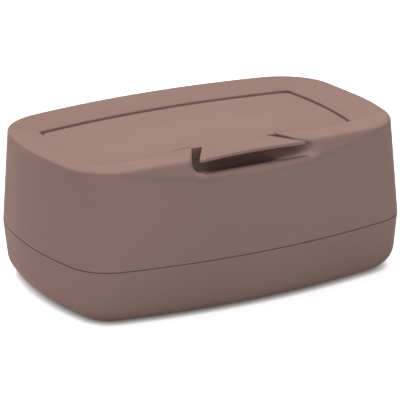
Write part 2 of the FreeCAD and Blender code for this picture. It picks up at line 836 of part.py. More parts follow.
def plate_outline(body, name, level, inset):
    """Plan outline of the press plate, drawn in by an inset."""
    sketch = new_sketch(body, name, offset=level)
    add_rounded_box(
        sketch, "plate_half_length - " + inset, "-1 * (plate_half_width - " + inset + ")",
        "plate_half_width - " + inset, "plate_corner_radius - " + inset,
    )
    return sketch


def add_slot(sketch, grow):
    """Slot of the press plate, or a ring round it."""
    add_rounded_box(
        sketch, "slot_length / 2 + " + grow, "-1 * (slot_width / 2 + " + grow + ")",
        "slot_width / 2 + " + grow, "slot_width / 3 + " + grow,
    )


def make_press_plate():
    """Tray-shaped plate that lies on the wipes: floor, rim, slot and weight fences.

    The fences are as high as the cover's underside and carry it.
    """
    body = new_body("press_plate")
    pad(body, "plate_floor", plate_outline(body, "plate_plan", PLATE_FLOOR, "0"),
        "plate_base_height")
    rim = plate_outline(body, "plate_rim_plan", PLATE_TOP, "0")
    add_rounded_box(
        rim, "plate_half_length - plate_rim_wall", "-1 * (plate_half_width - plate_rim_wall)",
        "plate_half_width - plate_rim_wall", "plate_corner_radius - plate_rim_wall",
    )
    pad(body, "plate_rim", rim, "plate_rim_height")
    slot = new_sketch(body, "slot_plan", offset=PLATE_TOP)
    add_slot(slot, "0")
    removed(body, pocket(body, "slot", slot, "plate_base_height + overrun"))
    collar = new_sketch(body, "slot_collar_plan", offset=PLATE_TOP)
    add_slot(collar, "0")
    add_slot(collar, "slot_collar_wall")
    pad(body, "slot_collar", collar, "plate_rim_height")
    for side, sign in (("left", "-1 *"), ("right", "1 *")):
        fence = new_sketch(body, side + "_fence_plan", offset=PLATE_TOP)
        for grow in ("weight_gap", "weight_gap + weight_fence_wall"):
            add_rounded_box(
                fence, "weight_length / 2 + " + grow, "-1 * (weight_half_width + " + grow + ")",
                "weight_half_width + " + grow, "weight_corner_radius + " + grow,
                sign + " weight_offset",
            )
        pad(body, side + "_fence", fence, "plate_rim_height - cover_thickness")
    return body


def make_plate_cover():
    """Flat cover that closes the plate over its weights."""
    body = new_body("press_plate_cover")
    cover = plate_outline(body, "cover_plan", PLATE_TOP + " + plate_rim_height - cover_thickness",
                          "(plate_rim_wall + cover_gap)")
    add_slot(cover, "slot_collar_wall + cover_gap")
    pad(body, "cover_sheet", cover, "cover_thickness")
    return body


def make_weight(label, sign):
    """Steel slab in a pocket of the press plate."""
    body = new_body(label)
    plan = new_sketch(body, label + "_plan", offset=PLATE_TOP)
    add_rounded_box(
        plan, "weight_length / 2", "-1 * weight_half_width", "weight_half_width",
        "weight_corner_radius", sign + " weight_offset",
    )
    pad(body, label + "_slab", plan, "weight_height")
    return body


def check_document():
    """Stops if any object of the document failed."""
    document.recompute()
    for item in document.Objects:
        if "Invalid" in item.State or "Error" in item.State:
            raise RuntimeError(item.Name + " failed: " + str(item.State))


def write_parts(pieces):
    """Checks each finished piece and writes its solid."""
    os.makedirs("parts", exist_ok=True)
    for piece in pieces:
        shape = piece.Shape
        if shape.isNull() or not shape.isValid() or not shape.Solids:
            raise RuntimeError(piece.Label + " has no sound solid")
        shape.exportStep(os.path.join("parts", piece.Label + ".step"))
        print(piece.Label, len(shape.Solids), round(shape.Volume))


def main():
    """Builds every piece of the dispenser and writes it."""
    pieces = [make_base_tray(), make_upper_housing(), make_lid(), make_lid_seal()]
    for side, sign in (("left", "-1 *"), ("right", "1 *")):
        pieces.append(make_hinge_pin("hinge_pin_" + side, sign))
        pieces.append(make_weight("press_weight_" + side, sign))
        for end, along in (("front", "-1 * foot_spread_y"), ("rear", "foot_spread_y")):
            pieces.append(make_foot("foot_" + end + "_" + side, sign + " foot_spread_x", along))
    pieces.append(make_press_plate())
    pieces.append(make_plate_cover())
    check_document()
    write_parts(pieces)


main()
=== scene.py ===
import logging
import math
from dataclasses import astuple, dataclass, field
from enum import Enum
from itertools import product
from typing import Any, Optional, Sequence

import bmesh
import bpy
import numpy as np
from mathutils import Matrix, Vector
from mathutils.geometry import delaunay_2d_cdt

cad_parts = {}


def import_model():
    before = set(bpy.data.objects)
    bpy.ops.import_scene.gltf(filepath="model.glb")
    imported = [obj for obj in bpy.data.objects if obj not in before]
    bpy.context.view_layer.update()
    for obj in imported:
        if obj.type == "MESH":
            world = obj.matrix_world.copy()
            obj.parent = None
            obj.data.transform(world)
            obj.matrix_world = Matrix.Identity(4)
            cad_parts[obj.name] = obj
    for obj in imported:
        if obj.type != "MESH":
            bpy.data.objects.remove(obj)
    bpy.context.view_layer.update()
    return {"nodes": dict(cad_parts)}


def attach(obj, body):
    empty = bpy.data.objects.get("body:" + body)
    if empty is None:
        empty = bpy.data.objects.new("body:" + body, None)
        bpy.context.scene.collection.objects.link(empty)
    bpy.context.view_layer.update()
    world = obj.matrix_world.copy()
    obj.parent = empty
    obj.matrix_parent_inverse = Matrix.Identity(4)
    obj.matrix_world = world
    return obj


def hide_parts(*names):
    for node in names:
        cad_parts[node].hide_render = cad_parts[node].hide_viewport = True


# Lengths are millimetres in the classes below and become metres when a mesh is made.
# X runs along the box, Y from its front to its back, Z up from the table.

LOG = logging.getLogger("wipes_dispenser")
METRES = 0.001

# Levels over the table, and where the hinge trough starts.
SEAM = 35.5
TOP = 95.5
LID_TOP = 90.0
LID_UNDER = LID_TOP - 2.4
LEDGE = 87.4
PAN_FLOOR = 82.5
TROUGH_FLOOR = 77.5
TROUGH_FRONT = 30.0

# Steps of an outline's eight arcs, anticlockwise from the right end, and the number of the
# front arc.
ARC_STEPS = (22, 16, 44, 16, 22, 16, 84, 16)
FRONT_ARC = 6
# Distance between points of the scoop's rim, and the shell's row at its top edge.
RIM_SPACING = 1.15
CROWN_ROW = 18
# Points whose places agree in a grid of so many cells to the millimetre are one point.
CELLS = 400
# Bend in radians to the millimetre at which an edge begins to look worn and is wholly worn.
WORN_BENDS = (0.08, 0.55)

Array = np.ndarray
Pair = tuple[Array, Array]
Socket = bpy.types.NodeSocket
Thing = bpy.types.Object


class Body(Enum):
    """Bodies of the frame that the rebuilt pieces ride on."""

    BASE = "base"
    HOUSING = "housing"
    LID = "lid"


class Slot(Enum):
    """Material slots of the record."""

    SHELL = "shell_plastic"
    SEAL = "soft_seal"
    RUBBER = "foot_rubber"


# ---------------------------------------------------------------- outlines


@dataclass(frozen=True)
class Columns:
    """Shares of an outline's eight arcs at which its ring has points, and the numbers of
    the two columns that meet the front edge of the hinge trough."""

    shares: tuple[Array, ...]
    trough_right: int
    trough_left: int

    @property
    def count(self) -> int:
        """Number of points of a ring."""
        return sum(len(part) for part in self.shares)

    @property
    def front(self) -> tuple[int, int]:
        """First and last column of the front side."""
        before = sum(len(part) for part in self.shares[:FRONT_ARC])
        return before, before + len(self.shares[FRONT_ARC])


def corner_centre(
    end_x: float, end_y: float, end_reach: float, side_y: float, side_reach: float
) -> tuple[float, float]:
    """Finds the centre of a corner arc that lies inside an end arc and a side arc.

    Args:
        end_x: Centre of the end arc.
        end_y: Centre of the end arc.
        end_reach: Distance of the corner's centre from it.
        side_y: Centre of the side arc, which lies on the middle line.
        side_reach: Distance of the corner's centre from it.

    Returns:
        The centre of the corner arc.
    """
    span = math.hypot(end_x, end_y - side_y)
    along = (span**2 + side_reach**2 - end_reach**2) / (2 * span)
    away = math.sqrt(max(side_reach**2 - along**2, 0.0))
    unit_x, unit_y = end_x / span, (end_y - side_y) / span
    centres = [
        (unit_x * along - turn * unit_y * away, side_y + unit_y * along + turn * unit_x * away)
        for turn in (1, -1)
    ]
    return max(centres, key=lambda centre: centre[0])


@dataclass(frozen=True)
class Outline:
    """Plan outline of eight tangent arcs: two ends, two sides and four corners.

    The first three sizes are the reaches of the ends, of the back and of the front. The
    radii of those arcs and of the corners follow.
    """

    half: float
    back: float
    front: float
    end_radius: float
    back_radius: float
    front_radius: float
    corner: float

    def grown(self, amount: float) -> "Outline":
        """The same outline pushed outwards, or inwards by a negative amount."""
        return Outline(*(value + amount for value in astuple(self)))

    @property
    def middle(self) -> float:
        """Y of the centres of the end arcs."""
        return (self.back - self.front) / 2

    def arcs(self) -> list[tuple[float, float, float, float, float]]:
        """Centre, radius, start and end angle of each arc, anticlockwise from the right end."""
        end_x = self.half - self.end_radius
        back_y = self.back - self.back_radius
        front_y = self.front_radius - self.front
        back_x, back_c = corner_centre(
            end_x, self.middle, self.end_radius - self.corner, back_y,
            self.back_radius - self.corner,
        )
        front_x, mirrored = corner_centre(
            end_x, -self.middle, self.end_radius - self.corner, -front_y,
            self.front_radius - self.corner,
        )
        front_c = -mirrored
        low = math.atan2(front_c - self.middle, front_x - end_x)
        high = math.atan2(back_c - self.middle, back_x - end_x)
        rise = math.atan2(back_c - back_y, back_x)
        fall = math.atan2(front_c - front_y, front_x)
        full = 2 * math.pi
        right = [
            (end_x, self.middle, self.end_radius, low, high),
            (back_x, back_c, self.corner, high, rise),
            (front_x, front_c, self.corner, fall, low),
        ]
        end, back, front = [
            (-x, y, radius, math.pi - last, math.pi - first) for x, y, radius, first, last in right
        ]
        return [
            right[0], right[1], (0.0, back_y, self.back_radius, rise, math.pi - rise), back, end,
            front, (0.0, front_y, self.front_radius, math.pi - fall, full + fall),
            (front_x, front_c, self.corner, full + fall, full + low),
        ]

    def end_x_at(self, y: float) -> float:
        """X of the right end arc at a Y."""
        reach = math.sqrt(self.end_radius**2 - (y - self.middle) ** 2)
        return self.half - self.end_radius + reach

    def ring(self, columns: Columns, trough: bool = False) -> Array:
        """Points of the outline, one for each column.

        Args:
            columns: Shares of the arcs.
            trough: Whether the two columns at the trough lie exactly on its front edge.

        Returns:
            An array of X and Y.
        """
        rows = []
        for (x, y, radius, start, end), shares in zip(self.arcs(), columns.shares):
            angles = start + (end - start) * shares
            rows.append(np.c_[x + radius * np.cos(angles), y + radius * np.sin(angles)])
        ring = np.concatenate(rows)
        if trough:
            x = self.end_x_at(TROUGH_FRONT)
            ring[columns.trough_right] = (x, TROUGH_FRONT)
            ring[columns.trough_left] = (-x, TROUGH_FRONT)
        return ring


@dataclass(frozen=True)
class RoundedBox:
    """Plan rectangle with rounded corners, between its lowest and highest Y."""

    half: float
    low: float
    high: float
    radius: float

    def grown(self, amount: float) -> "RoundedBox":
        """The same rectangle pushed outwards, or inwards by a negative amount."""
        return RoundedBox(
            self.half + amount, self.low - amount, self.high + amount, self.radius + amount
        )

    def ring(self, turn: int = 10, end: int = 4, side: int = 24) -> Array:
        """Points of the outline, anticlockwise from the right end.

        Args:
            turn: Steps of a corner.
            end: Steps of a short side.
            side: Steps of a long side.

        Returns:
            An array of X and Y.
        """
        r, quarter = self.radius, math.pi / 2
        corners = (
            (self.half - r, self.high - r), (r - self.half, self.high - r),
            (r - self.half, self.low + r), (self.half - r, self.low + r),
        )
        ends = []
        for number, (x, y) in enumerate(corners):
            angles = quarter * (number + np.linspace(0, 1, turn + 1))
            ends.append(np.c_[x + r * np.cos(angles), y + r * np.sin(angles)])
        rows = []
        for number, arc in enumerate(ends):
            steps = side if number % 2 == 0 else end
            share = np.linspace(0, 1, steps + 1)[1:-1, None]
            rows += [arc, arc[-1] + (ends[(number + 1) % 4][0] - arc[-1]) * share]
        return np.concatenate(rows)


# Outline of both shells at the seam, and the opening that the wipes come out of.
SEAM_OUTLINE = Outline(118.0, 78.7, 78.7, 203.0, 435.0, 435.0, 28.7)
OPENING = RoundedBox(70.0, -28.0, 18.0, 20.0)


def at_level(plan: Array, level: float) -> Array:
    """Points in space over points of the plan."""
    return np.c_[plan, np.full(len(plan), level)]


def inside(points: Array, loop: Array) -> Array:
    """Tells which plan points lie inside a closed loop.

    Args:
        points: Array of X and Y.
        loop: Corners of the loop.

    Returns:
        One truth value for each point.
    """
    result = np.zeros(len(points), bool)
    x, y = points[:, 0], points[:, 1]
    for start, end in zip(loop, np.roll(loop, -1, axis=0)):
        if start[1] == end[1]:
            continue
        crosses = (start[1] > y) != (end[1] > y)
        at = start[0] + (y - start[1]) * (end[0] - start[0]) / (end[1] - start[1])
        result ^= crosses & (x < at)
    return result


def clearance(points: Array, loop: Array) -> Array:
    """Distance of plan points from a closed loop.

    Args:
        points: Array of X and Y.
        loop: Corners of the loop.

    Returns:
        One distance for each point.
    """
    best = np.full(len(points), np.inf)
    for start, end in zip(loop, np.roll(loop, -1, axis=0)):
        side = end - start
        length = float(side @ side)
        if length < 1e-12:
            continue
        share = np.clip(((points - start) @ side) / length, 0, 1)
        best = np.minimum(best, np.hypot(*(points - start - share[:, None] * side).T))
    return best


def smooth_step(values: Array, low: float, high: float) -> Array:
    """Rise from 0 at low to 1 at high, level at both ends."""
    share = np.clip((np.asarray(values, float) - low) / (high - low), 0, 1)
    return share * share * (3 - 2 * share)


def marks_along(path: Array) -> Array:
    """Distance of each corner of a path from its start."""
    steps = np.linalg.norm(np.diff(path, axis=0), axis=1)
    return np.concatenate([[0.0], np.cumsum(steps)])


def bent(start: Array, at: Array, end: Array, share: Any) -> Array:
    """Point at a share of the way round a corner, on a parabola that touches both sides."""
    return (1 - share) ** 2 * start + 2 * share * (1 - share) * at + share**2 * end


def rounded_path(path: Array, places: Array, window: Array) -> Array:
    """Rounds a bent path by averaging it over a window of its length.

    Args:
        path: Corners of the path in space.
        places: Distances along it at which points are wanted.
        window: Length of the window at each place.

    Returns:
        One point in space for each place.
    """
    steps = np.linalg.norm(np.diff(path, axis=0), axis=1)
    path = path[np.concatenate([[True], steps > 1e-7])]
    steps = steps[steps > 1e-7]
    along = np.concatenate([[0.0], np.cumsum(steps)])
    slope = np.diff(path, axis=0) / steps[:, None]
    halves = 0.5 * (path[1:] + path[:-1]) * steps[:, None]
    total = np.concatenate([np.zeros((1, 3)), np.cumsum(halves, axis=0)])

    def summed(distance: Array) -> Array:
        """Sum of the path up to a distance."""
        piece = np.clip(np.searchsorted(along, distance) - 1, 0, len(steps) - 1)
        part = (distance - along[piece])[:, None]
        return total[piece] + part * path[piece] + 0.5 * part**2 * slope[piece]

    return (summed(places + window / 2) - summed(places - window / 2)) / window[:, None]


# ---------------------------------------------------------------- meshes


@dataclass
class Skin:
    """Mesh in the making, in which points at the same place are one."""

    points: list[tuple[float, float, float]] = field(default_factory=list)
    faces: list[list[int]] = field(default_factory=list)
    known: dict[tuple[int, int, int], int] = field(default_factory=dict)

    def add(self, points: Array) -> list[int]:
        """Numbers of some points, which are added where they are new."""
        numbers = []
        for point in np.asarray(points, float).reshape(-1, 3):
            key = tuple(int(round(value * CELLS)) for value in point)
            if key not in self.known:
                self.known[key] = len(self.points)
                self.points.append(tuple(float(value) for value in point))
            numbers.append(self.known[key])
        return numbers

    def face(self, corners: Sequence[int]) -> None:
        """Adds a face, without corners that fell together."""
        kept = [c for i, c in enumerate(corners) if c != corners[i - 1]]
        if len(set(kept)) == len(kept) and len(kept) > 2:
            self.faces.append(kept)

    def strip(self, first: Array, second: Array, closed: bool = True) -> None:
        """Joins two rows of equally many points by quads.

        Args:
            first: Points of one row.
            second: Points of the other row.
            closed: Whether the rows are rings.
        """
        a, b = self.add(first), self.add(second)
        for i in range(len(a) if closed else len(a) - 1):
            j = (i + 1) % len(a)
            self.face([a[i], a[j], b[j], b[i]])

    def stack(
        self, rows: Sequence[Array], closed: bool = True, capped: bool = False
    ) -> None:
        """Joins rows one after the other, and closes the first and last ring if wished."""
        for first, second in zip(rows, rows[1:]):
            self.strip(first, second, closed)
        for ring in (rows[0], rows[-1]) if capped else ():
            self.patch(ring[:, :2], ring)

    def patch(
        self, plan: Array, places: Array, hole: Optional[Pair] = None,
        extra: Optional[Pair] = None,
    ) -> None:
        """Fills a loop with triangles that are laid out in a plan of it.

        Args:
            plan: The loop's corners in the plan.
            places: The same corners in space.
            hole: A loop that stays open, in the plan and in space.
            extra: Further points inside the loop, in the plan and in space.
        """
        loops = [(plan, places), hole] if hole else [(plan, places)]
        # The triangulation works in single precision, so the test of its faces does too.
        flat = [np.float32(loop).astype(float) for loop, _ in loops]
        edges, start = [], 0
        for loop in flat:
            edges += [(start + i, start + (i + 1) % len(loop)) for i in range(len(loop))]
            start += len(loop)
        added = [extra] if extra else []
        corners = np.concatenate(flat + [points for points, _ in added])
        heights = np.concatenate([space for _, space in loops + added])
        made, _, faces, origin, _, _ = delaunay_2d_cdt(
            [Vector(p) for p in corners.tolist()], edges, [], 0, 1e-7
        )
        source = [entry[0] if entry else -1 for entry in origin]
        numbers = self.add(heights)
        middles = np.array([np.mean([made[c][:] for c in f], axis=0) for f in faces])
        good = inside(middles, flat[0])
        for loop in flat[1:]:
            good &= ~inside(middles, loop)
        for keep, face in zip(good, faces):
            if keep and all(source[c] >= 0 for c in face):
                self.face([numbers[source[c]] for c in face])

    def make(self, name: str, wall: float = 0.0, sharp: float = 38.0) -> Thing:
        """Turns the skin into a mesh object in metres.

        Args:
            name: Name of the object.
            wall: Thickness that the skin gets inwards, or 0 for a closed skin.
            sharp: Angle in degrees over which an edge shows as sharp.

        Returns:
            The object, with the attribute "wear" on its points.
        """
        item = mesh_object(name, self.points, faces=self.faces)
        turn_outwards(item.data, is_open=wall > 0)
        if wall:
            shell = item.modifiers.new("wall", "SOLIDIFY")
            shell.thickness = wall * METRES
            shell.offset = -1.0
            shell.use_even_offset = False
            bake(item)
        finish_mesh(item.data, sharp)
        return item


def linked(name: str, data: bpy.types.ID) -> Thing:
    """Makes an object of some data and adds it to the scene."""
    item = bpy.data.objects.new(name, data)
    bpy.context.scene.collection.objects.link(item)
    return item


def mesh_object(
    name: str, points: Sequence[Sequence[float]], edges: Sequence[tuple[int, int]] = (),
    faces: Sequence[Sequence[int]] = (),
) -> Thing:
    """Makes a mesh object in metres from points in millimetres.

    Args:
        name: Name of the object.
        points: Places of its points.
        edges: Numbers of the points of each loose edge.
        faces: Numbers of the points of each face.

    Returns:
        The object.
    """
    mesh = bpy.data.meshes.new(name)
    mesh.from_pydata([tuple(c * METRES for c in p) for p in points], edges, faces)
    return linked(name, mesh)


def turn_outwards(
    mesh: bpy.types.Mesh, is_open: bool = False, weld: Optional[float] = None
) -> None:
    """Turns the faces of a mesh outwards.

    Args:
        mesh: Mesh in metres.
        is_open: Whether the mesh is an open skin, whose highest face then looks up.
        weld: Distance in metres within which points are joined first.
    """
    work = bmesh.new()
    work.from_mesh(mesh)
    if weld is not None:
        bmesh.ops.remove_doubles(work, verts=work.verts, dist=weld)
    bmesh.ops.recalc_face_normals(work, faces=work.faces)
    highest = max(work.faces, key=lambda face: face.calc_center_median().z)
    if is_open and highest.normal.z < 0:
        bmesh.ops.reverse_faces(work, faces=work.faces)
    work.to_mesh(mesh)
    work.free()


def bake(item: Thing) -> None:
    """Replaces an object's mesh by what its modifiers make of it, and removes them."""
    graph = bpy.context.evaluated_depsgraph_get()
    mesh = bpy.data.meshes.new_from_object(item.evaluated_get(graph))
    mesh.name = item.name
    item.modifiers.clear()
    old, item.data = item.data, mesh
    bpy.data.meshes.remove(old)


def finish_mesh(mesh: bpy.types.Mesh, sharp: float) -> None:
    """Shades a mesh smooth between its sharp edges and writes how bent it is at each point.

    Args:
        mesh: Mesh in metres.
        sharp: Angle in degrees over which an edge shows as sharp.
    """
    mesh.shade_smooth()
    mesh.set_sharp_from_angle(angle=math.radians(sharp))
    count = len(mesh.vertices)
    places, normals = np.empty(count * 3), np.empty(count * 3)
    mesh.vertices.foreach_get("co", places)
    mesh.vertices.foreach_get("normal", normals)
    places, normals = places.reshape(-1, 3) / METRES, normals.reshape(-1, 3)
    edges = np.empty(len(mesh.edges) * 2, int)
    mesh.edges.foreach_get("vertices", edges)
    edges = edges.reshape(-1, 2)
    bend, weight = np.zeros(count), np.zeros(count)
    for start, end in (edges.T, edges.T[::-1]):
        run = places[start] - places[end]
        length = np.maximum(np.einsum("ij,ij->i", run, run), 1e-6)
        np.add.at(bend, start, 2 * np.einsum("ij,ij->i", normals[start], run) / length)
        np.add.at(weight, start, 1.0)
    wear = smooth_step(bend / np.maximum(weight, 1), *WORN_BENDS)
    layer = mesh.attributes.new("wear", "FLOAT", "POINT")
    layer.data.foreach_set("value", wear.astype(np.float32))


def dress(item: Thing, material: bpy.types.Material) -> None:
    """Gives an object one material."""
    item.data.materials.clear()
    item.data.materials.append(material)


def place(
    item: Thing, material: bpy.types.Material, body: Body,
    replaced: Sequence[str] = (),
) -> None:
    """Gives a finished piece its material and ties it to the frame.

    Args:
        item: The piece.
        material: Its material.
        body: Body it rides on.
        replaced: Nodes it stands for.
    """
    dress(item, material)
    if replaced:
        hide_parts(*replaced)
    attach(item, body.value)
    LOG.info("%s: %d faces on %s", item.name, len(item.data.polygons), body.value)


# ---------------------------------------------------------------- node trees


class NodeTree:
    """Node tree in the making."""

    def __init__(self, tree: bpy.types.NodeTree) -> None:
        """Keeps the tree."""
        self.tree = tree

    def feed(self, socket: Socket, value: Any) -> None:
        """Links a socket to the input, or sets the input's value."""
        if isinstance(value, Socket):
            self.tree.links.new(value, socket)
        else:
            socket.default_value = value

    def node(
        self, kind: str, inputs: Optional[dict[Any, Any]] = None, **settings: Any
    ) -> bpy.types.Node:
        """Adds a node.

        Args:
            kind: Type of the node.
            inputs: A socket or a value for each of its inputs, by name or number.
            settings: Its properties.

        Returns:
            The node.
        """
        made = self.tree.nodes.new(kind)
        for name, value in settings.items():
            setattr(made, name, value)
        for name, value in (inputs or {}).items():
            self.feed(made.inputs[name], value)
        return made

    def math(self, operation: str, *values: Any) -> Socket:
        """Result of a calculation with sockets or values."""
        return self.node(
            "ShaderNodeMath", dict(enumerate(values)), operation=operation
        ).outputs[0]


class GeometryTree(NodeTree):
    """Geometry node tree with named inputs, ended by Realize Instances and Set Material."""

    def __init__(self, name: str, **ports: str) -> None:
        """Builds the frame of the tree.

        Args:
            name: Name of the tree.
            ports: Socket type of each input besides the geometry and the material.
        """
        super().__init__(bpy.data.node_groups.new(name, "GeometryNodeTree"))
        face, kinds = self.tree.interface, {**ports, "Material": "NodeSocketMaterial"}
        face.new_socket("Geometry", in_out="INPUT", socket_type="NodeSocketGeometry")
        self.sockets = {
            port: face.new_socket(port, in_out="INPUT", socket_type=kind).identifier
            for port, kind in kinds.items()
        }
        face.new_socket("Geometry", in_out="OUTPUT", socket_type="NodeSocketGeometry")
        self.given = self.node("NodeGroupInput").outputs

    def close(self, geometry: Socket) -> None:
        """Ends the tree after the last geometry."""
        real = self.node("GeometryNodeRealizeInstances", {0: geometry})
        paint = self.node("GeometryNodeSetMaterial", {
            "Geometry": real.outputs[0], "Material": self.given["Material"],
        })
        self.node("NodeGroupOutput", {0: paint.outputs[0]})

    def run(self, item: Thing, sharp: float, **values: Any) -> Thing:
        """Runs the tree on an object and keeps the result as its plain mesh.

        Args:
            item: Object whose mesh the tree starts from.
            sharp: Angle in degrees over which an edge shows as sharp.
            values: Values of the inputs.

        Returns:
            The same object.
        """
        step = item.modifiers.new(self.tree.name, "NODES")
        step.node_group = self.tree
        for name, value in values.items():
            step[self.sockets[name]] = value
        item.update_tag()
        bake(item)
        finish_mesh(item.data, sharp)
        return item


@dataclass(frozen=True)
class RingSizes:
    """Ring round the opening: its path's distance from it, its levels, width and edges."""

    outwards: float
    low: float
    high: float
    width: float
    edge: float = 0.35


class SweptRing(GeometryTree):
    """Ring with a rounded square section, swept along a closed path."""

    def __init__(self) -> None:
        """Builds the tree."""
        length = "NodeSocketFloat"
        super().__init__(
            "swept_ring", Width=length, Height=length, Radius=length, Steps="NodeSocketInt"
        )
        path = self.node("GeometryNodeMeshToCurve", {"Mesh": self.given["Geometry"]})
        upright = self.node("GeometryNodeSetCurveNormal", {"Curve": path.outputs[0]}, mode="Z_UP")
        section = self.node("GeometryNodeCurvePrimitiveQuadrilateral", {
            "Width": self.given["Width"], "Height": self.given["Height"],
        })
        fillet = self.node("GeometryNodeFilletCurve", mode="POLY")
        self.feed(fillet.inputs["Curve"], section.outputs[0])
        self.feed(fillet.inputs["Radius"], self.given["Radius"])
        self.feed(fillet.inputs["Count"], self.given["Steps"])
        sweep = self.node("GeometryNodeCurveToMesh", {
            "Curve": upright.outputs[0], "Profile Curve": fillet.outputs[0],
        })
        self.close(sweep.outputs[0])

    def make(
        self, name: str, opening: RoundedBox, sizes: RingSizes, material: bpy.types.Material
    ) -> Thing:
        """Sweeps one ring.

        Args:
            name: Name of the object.
            opening: The opening that the ring goes round.
            sizes: Its sizes.
            material: Its material.

        Returns:
            The object.
        """
        path = at_level(opening.grown(sizes.outwards).ring(), (sizes.low + sizes.high) / 2)
        item = mesh_object(name, path, [(i, (i + 1) % len(path)) for i in range(len(path))])
        self.run(
            item, sharp=50.0, Width=sizes.width * METRES, Height=(sizes.high - sizes.low) * METRES,
            Radius=sizes.edge * METRES, Steps=4, Material=material,
        )
        turn_outwards(item.data, weld=1e-6)
        return item


class Copies(GeometryTree):
    """Copies of one piece at given points."""

    def __init__(self) -> None:
        """Builds the tree."""
        super().__init__("copies_at_points", Piece="NodeSocketObject")
        source = self.node("GeometryNodeObjectInfo", {"Object": self.given["Piece"]})
        spread = self.node("GeometryNodeInstanceOnPoints", {
            "Points": self.given["Geometry"], "Instance": source.outputs["Geometry"],
        })
        self.close(spread.outputs[0])

    def make(
        self, name: str, points: Sequence[tuple[float, float]], piece: Thing,
        material: bpy.types.Material,
    ) -> Thing:
        """Sets a copy of a piece on each point.

        Args:
            name: Name of the object.
            points: Places in plan.
            piece: The piece, made round the origin. It is removed afterwards.
            material: Material of the copies.

        Returns:
            The object.
        """
        item = mesh_object(name, at_level(np.array(points), 0.0))
        self.run(item, sharp=40.0, Piece=piece, Material=material)
        bpy.data.objects.remove(piece)
        return item


# ---------------------------------------------------------------- finishes


class MaterialBuilder(NodeTree):
    """Material in the making: a plain shader and the nodes that feed it."""

    def __init__(self, name: str) -> None:
        """Starts a material."""
        self.material = bpy.data.materials.new(name)
        self.material.use_nodes = True
        super().__init__(self.material.node_tree)
        self.shader = self.tree.nodes["Principled BSDF"]
        self.object_space = self.node("ShaderNodeTexCoord").outputs["Object"]

    def noise(
        self, scale: float, detail: float, stretch: Sequence[float] = (1, 1, 1)
    ) -> Socket:
        """Noise in the object's own space.

        Args:
            scale: Waves in a metre.
            detail: Finer layers.
            stretch: Factors of the three axes.

        Returns:
            The noise value.
        """
        mapping = self.node("ShaderNodeMapping", {
            "Scale": tuple(stretch), "Vector": self.object_space,
        })
        return self.node("ShaderNodeTexNoise", {
            "Scale": scale, "Detail": detail, "Vector": mapping.outputs["Vector"],
        }).outputs["Fac"]

    def spread(
        self, value: Socket, low: float, high: float, start: float = 0.3,
        end: float = 0.7,
    ) -> Socket:
        """Maps a value from start and end to low and high."""
        return self.node("ShaderNodeMapRange", {
            "From Min": start, "From Max": end, "To Min": low, "To Max": high, "Value": value,
        }).outputs["Result"]

    def blend(self, share: Socket, first: Any, second: Any) -> Socket:
        """Mixes two colours, each a socket or a value."""
        inputs = {0: share, 6: first, 7: second}
        return self.node("ShaderNodeMix", inputs, data_type="RGBA").outputs[2]

    def bump(self, *layers: tuple[Socket, float, float]) -> None:
        """Stacks bump layers on the shader.

        Args:
            layers: For each layer its height, its strength and its depth in millimetres.
        """
        below = {}
        for height, strength, depth in layers:
            inputs = {"Strength": strength, "Distance": depth * METRES, "Height": height, **below}
            below = {"Normal": self.node("ShaderNodeBump", inputs).outputs["Normal"]}
        self.finish(**below)

    def finish(self, **values: Any) -> bpy.types.Material:
        """Feeds inputs of the shader, named with underscores for blanks.

        Args:
            values: A socket or a value for each input.

        Returns:
            The material.
        """
        for name, value in values.items():
            self.feed(self.shader.inputs[name.replace("_", " ")], value)
        return self.material


def linear(red: float, green: float, blue: float, gain: float = 1.0) -> tuple[float, ...]:
    """Colour of a screen value from 0 to 255, as a shader takes it."""
    def one(value: float) -> float:
        """One channel."""
        share = value / 255
        return share / 12.92 if share <= 0.04045 else ((share + 0.055) / 1.055) ** 2.4
    return (*[min(one(channel) * gain, 1.0) for channel in (red, green, blue)], 1.0)


@dataclass(frozen=True)
class Finish:
    """Name and screen colour of a finish."""

    name: str
    colour: tuple[float, float, float]

    def tone(self, gain: float) -> tuple[float, ...]:
        """The colour times a gain, as a shader takes it."""
        return linear(*self.colour, gain=gain)

    def spreads(
        self, made: MaterialBuilder, waves: Socket, gains: tuple[float, float]
    ) -> Socket:
        """The colour, darker and lighter by turns."""
        return made.blend(made.spread(waves, 0.0, 1.0), *map(self.tone, gains))


@dataclass(frozen=True)
class MouldedPlastic(Finish):
    """Satin moulded plastic with a fine grain, a faint flow and lighter worn edges."""

    roughness: float = 0.5
    grain: float = 0.35
    flow: float = 0.03
    gloss: float = 0.01

    def material(self) -> bpy.types.Material:
        """Builds the material."""
        made = MaterialBuilder(self.name)
        body = self.spreads(made, made.noise(14.0, 3.0, (1, 1.6, 1)),
                            (1 - self.flow, 1 + self.flow))
        fleck = made.spread(made.noise(900.0, 2.0), 0.0, 1.0)
        flecked = made.blend(made.spread(fleck, 0.0, 0.16, 0.0, 1.0), body, self.tone(0.82))
        worn = made.node("ShaderNodeAttribute", attribute_name="wear").outputs["Fac"]
        share = made.math("MULTIPLY", worn, made.spread(made.noise(160.0, 3.0), 0.25, 1.0))
        edge = made.spread(share, 0.0, 0.3, 0.0, 1.0)
        made.bump((made.noise(1500.0, 2.0), self.grain, 0.06),
                  (made.noise(22.0, 2.0), 0.25, 0.12))
        return made.finish(
            Base_Color=made.blend(edge, flecked, self.tone(1.35)),
            Roughness=made.spread(made.noise(60.0, 4.0), self.roughness - 0.035,
                                  self.roughness + 0.035),
            IOR=1.49, Specular_IOR_Level=self.gloss,
        )


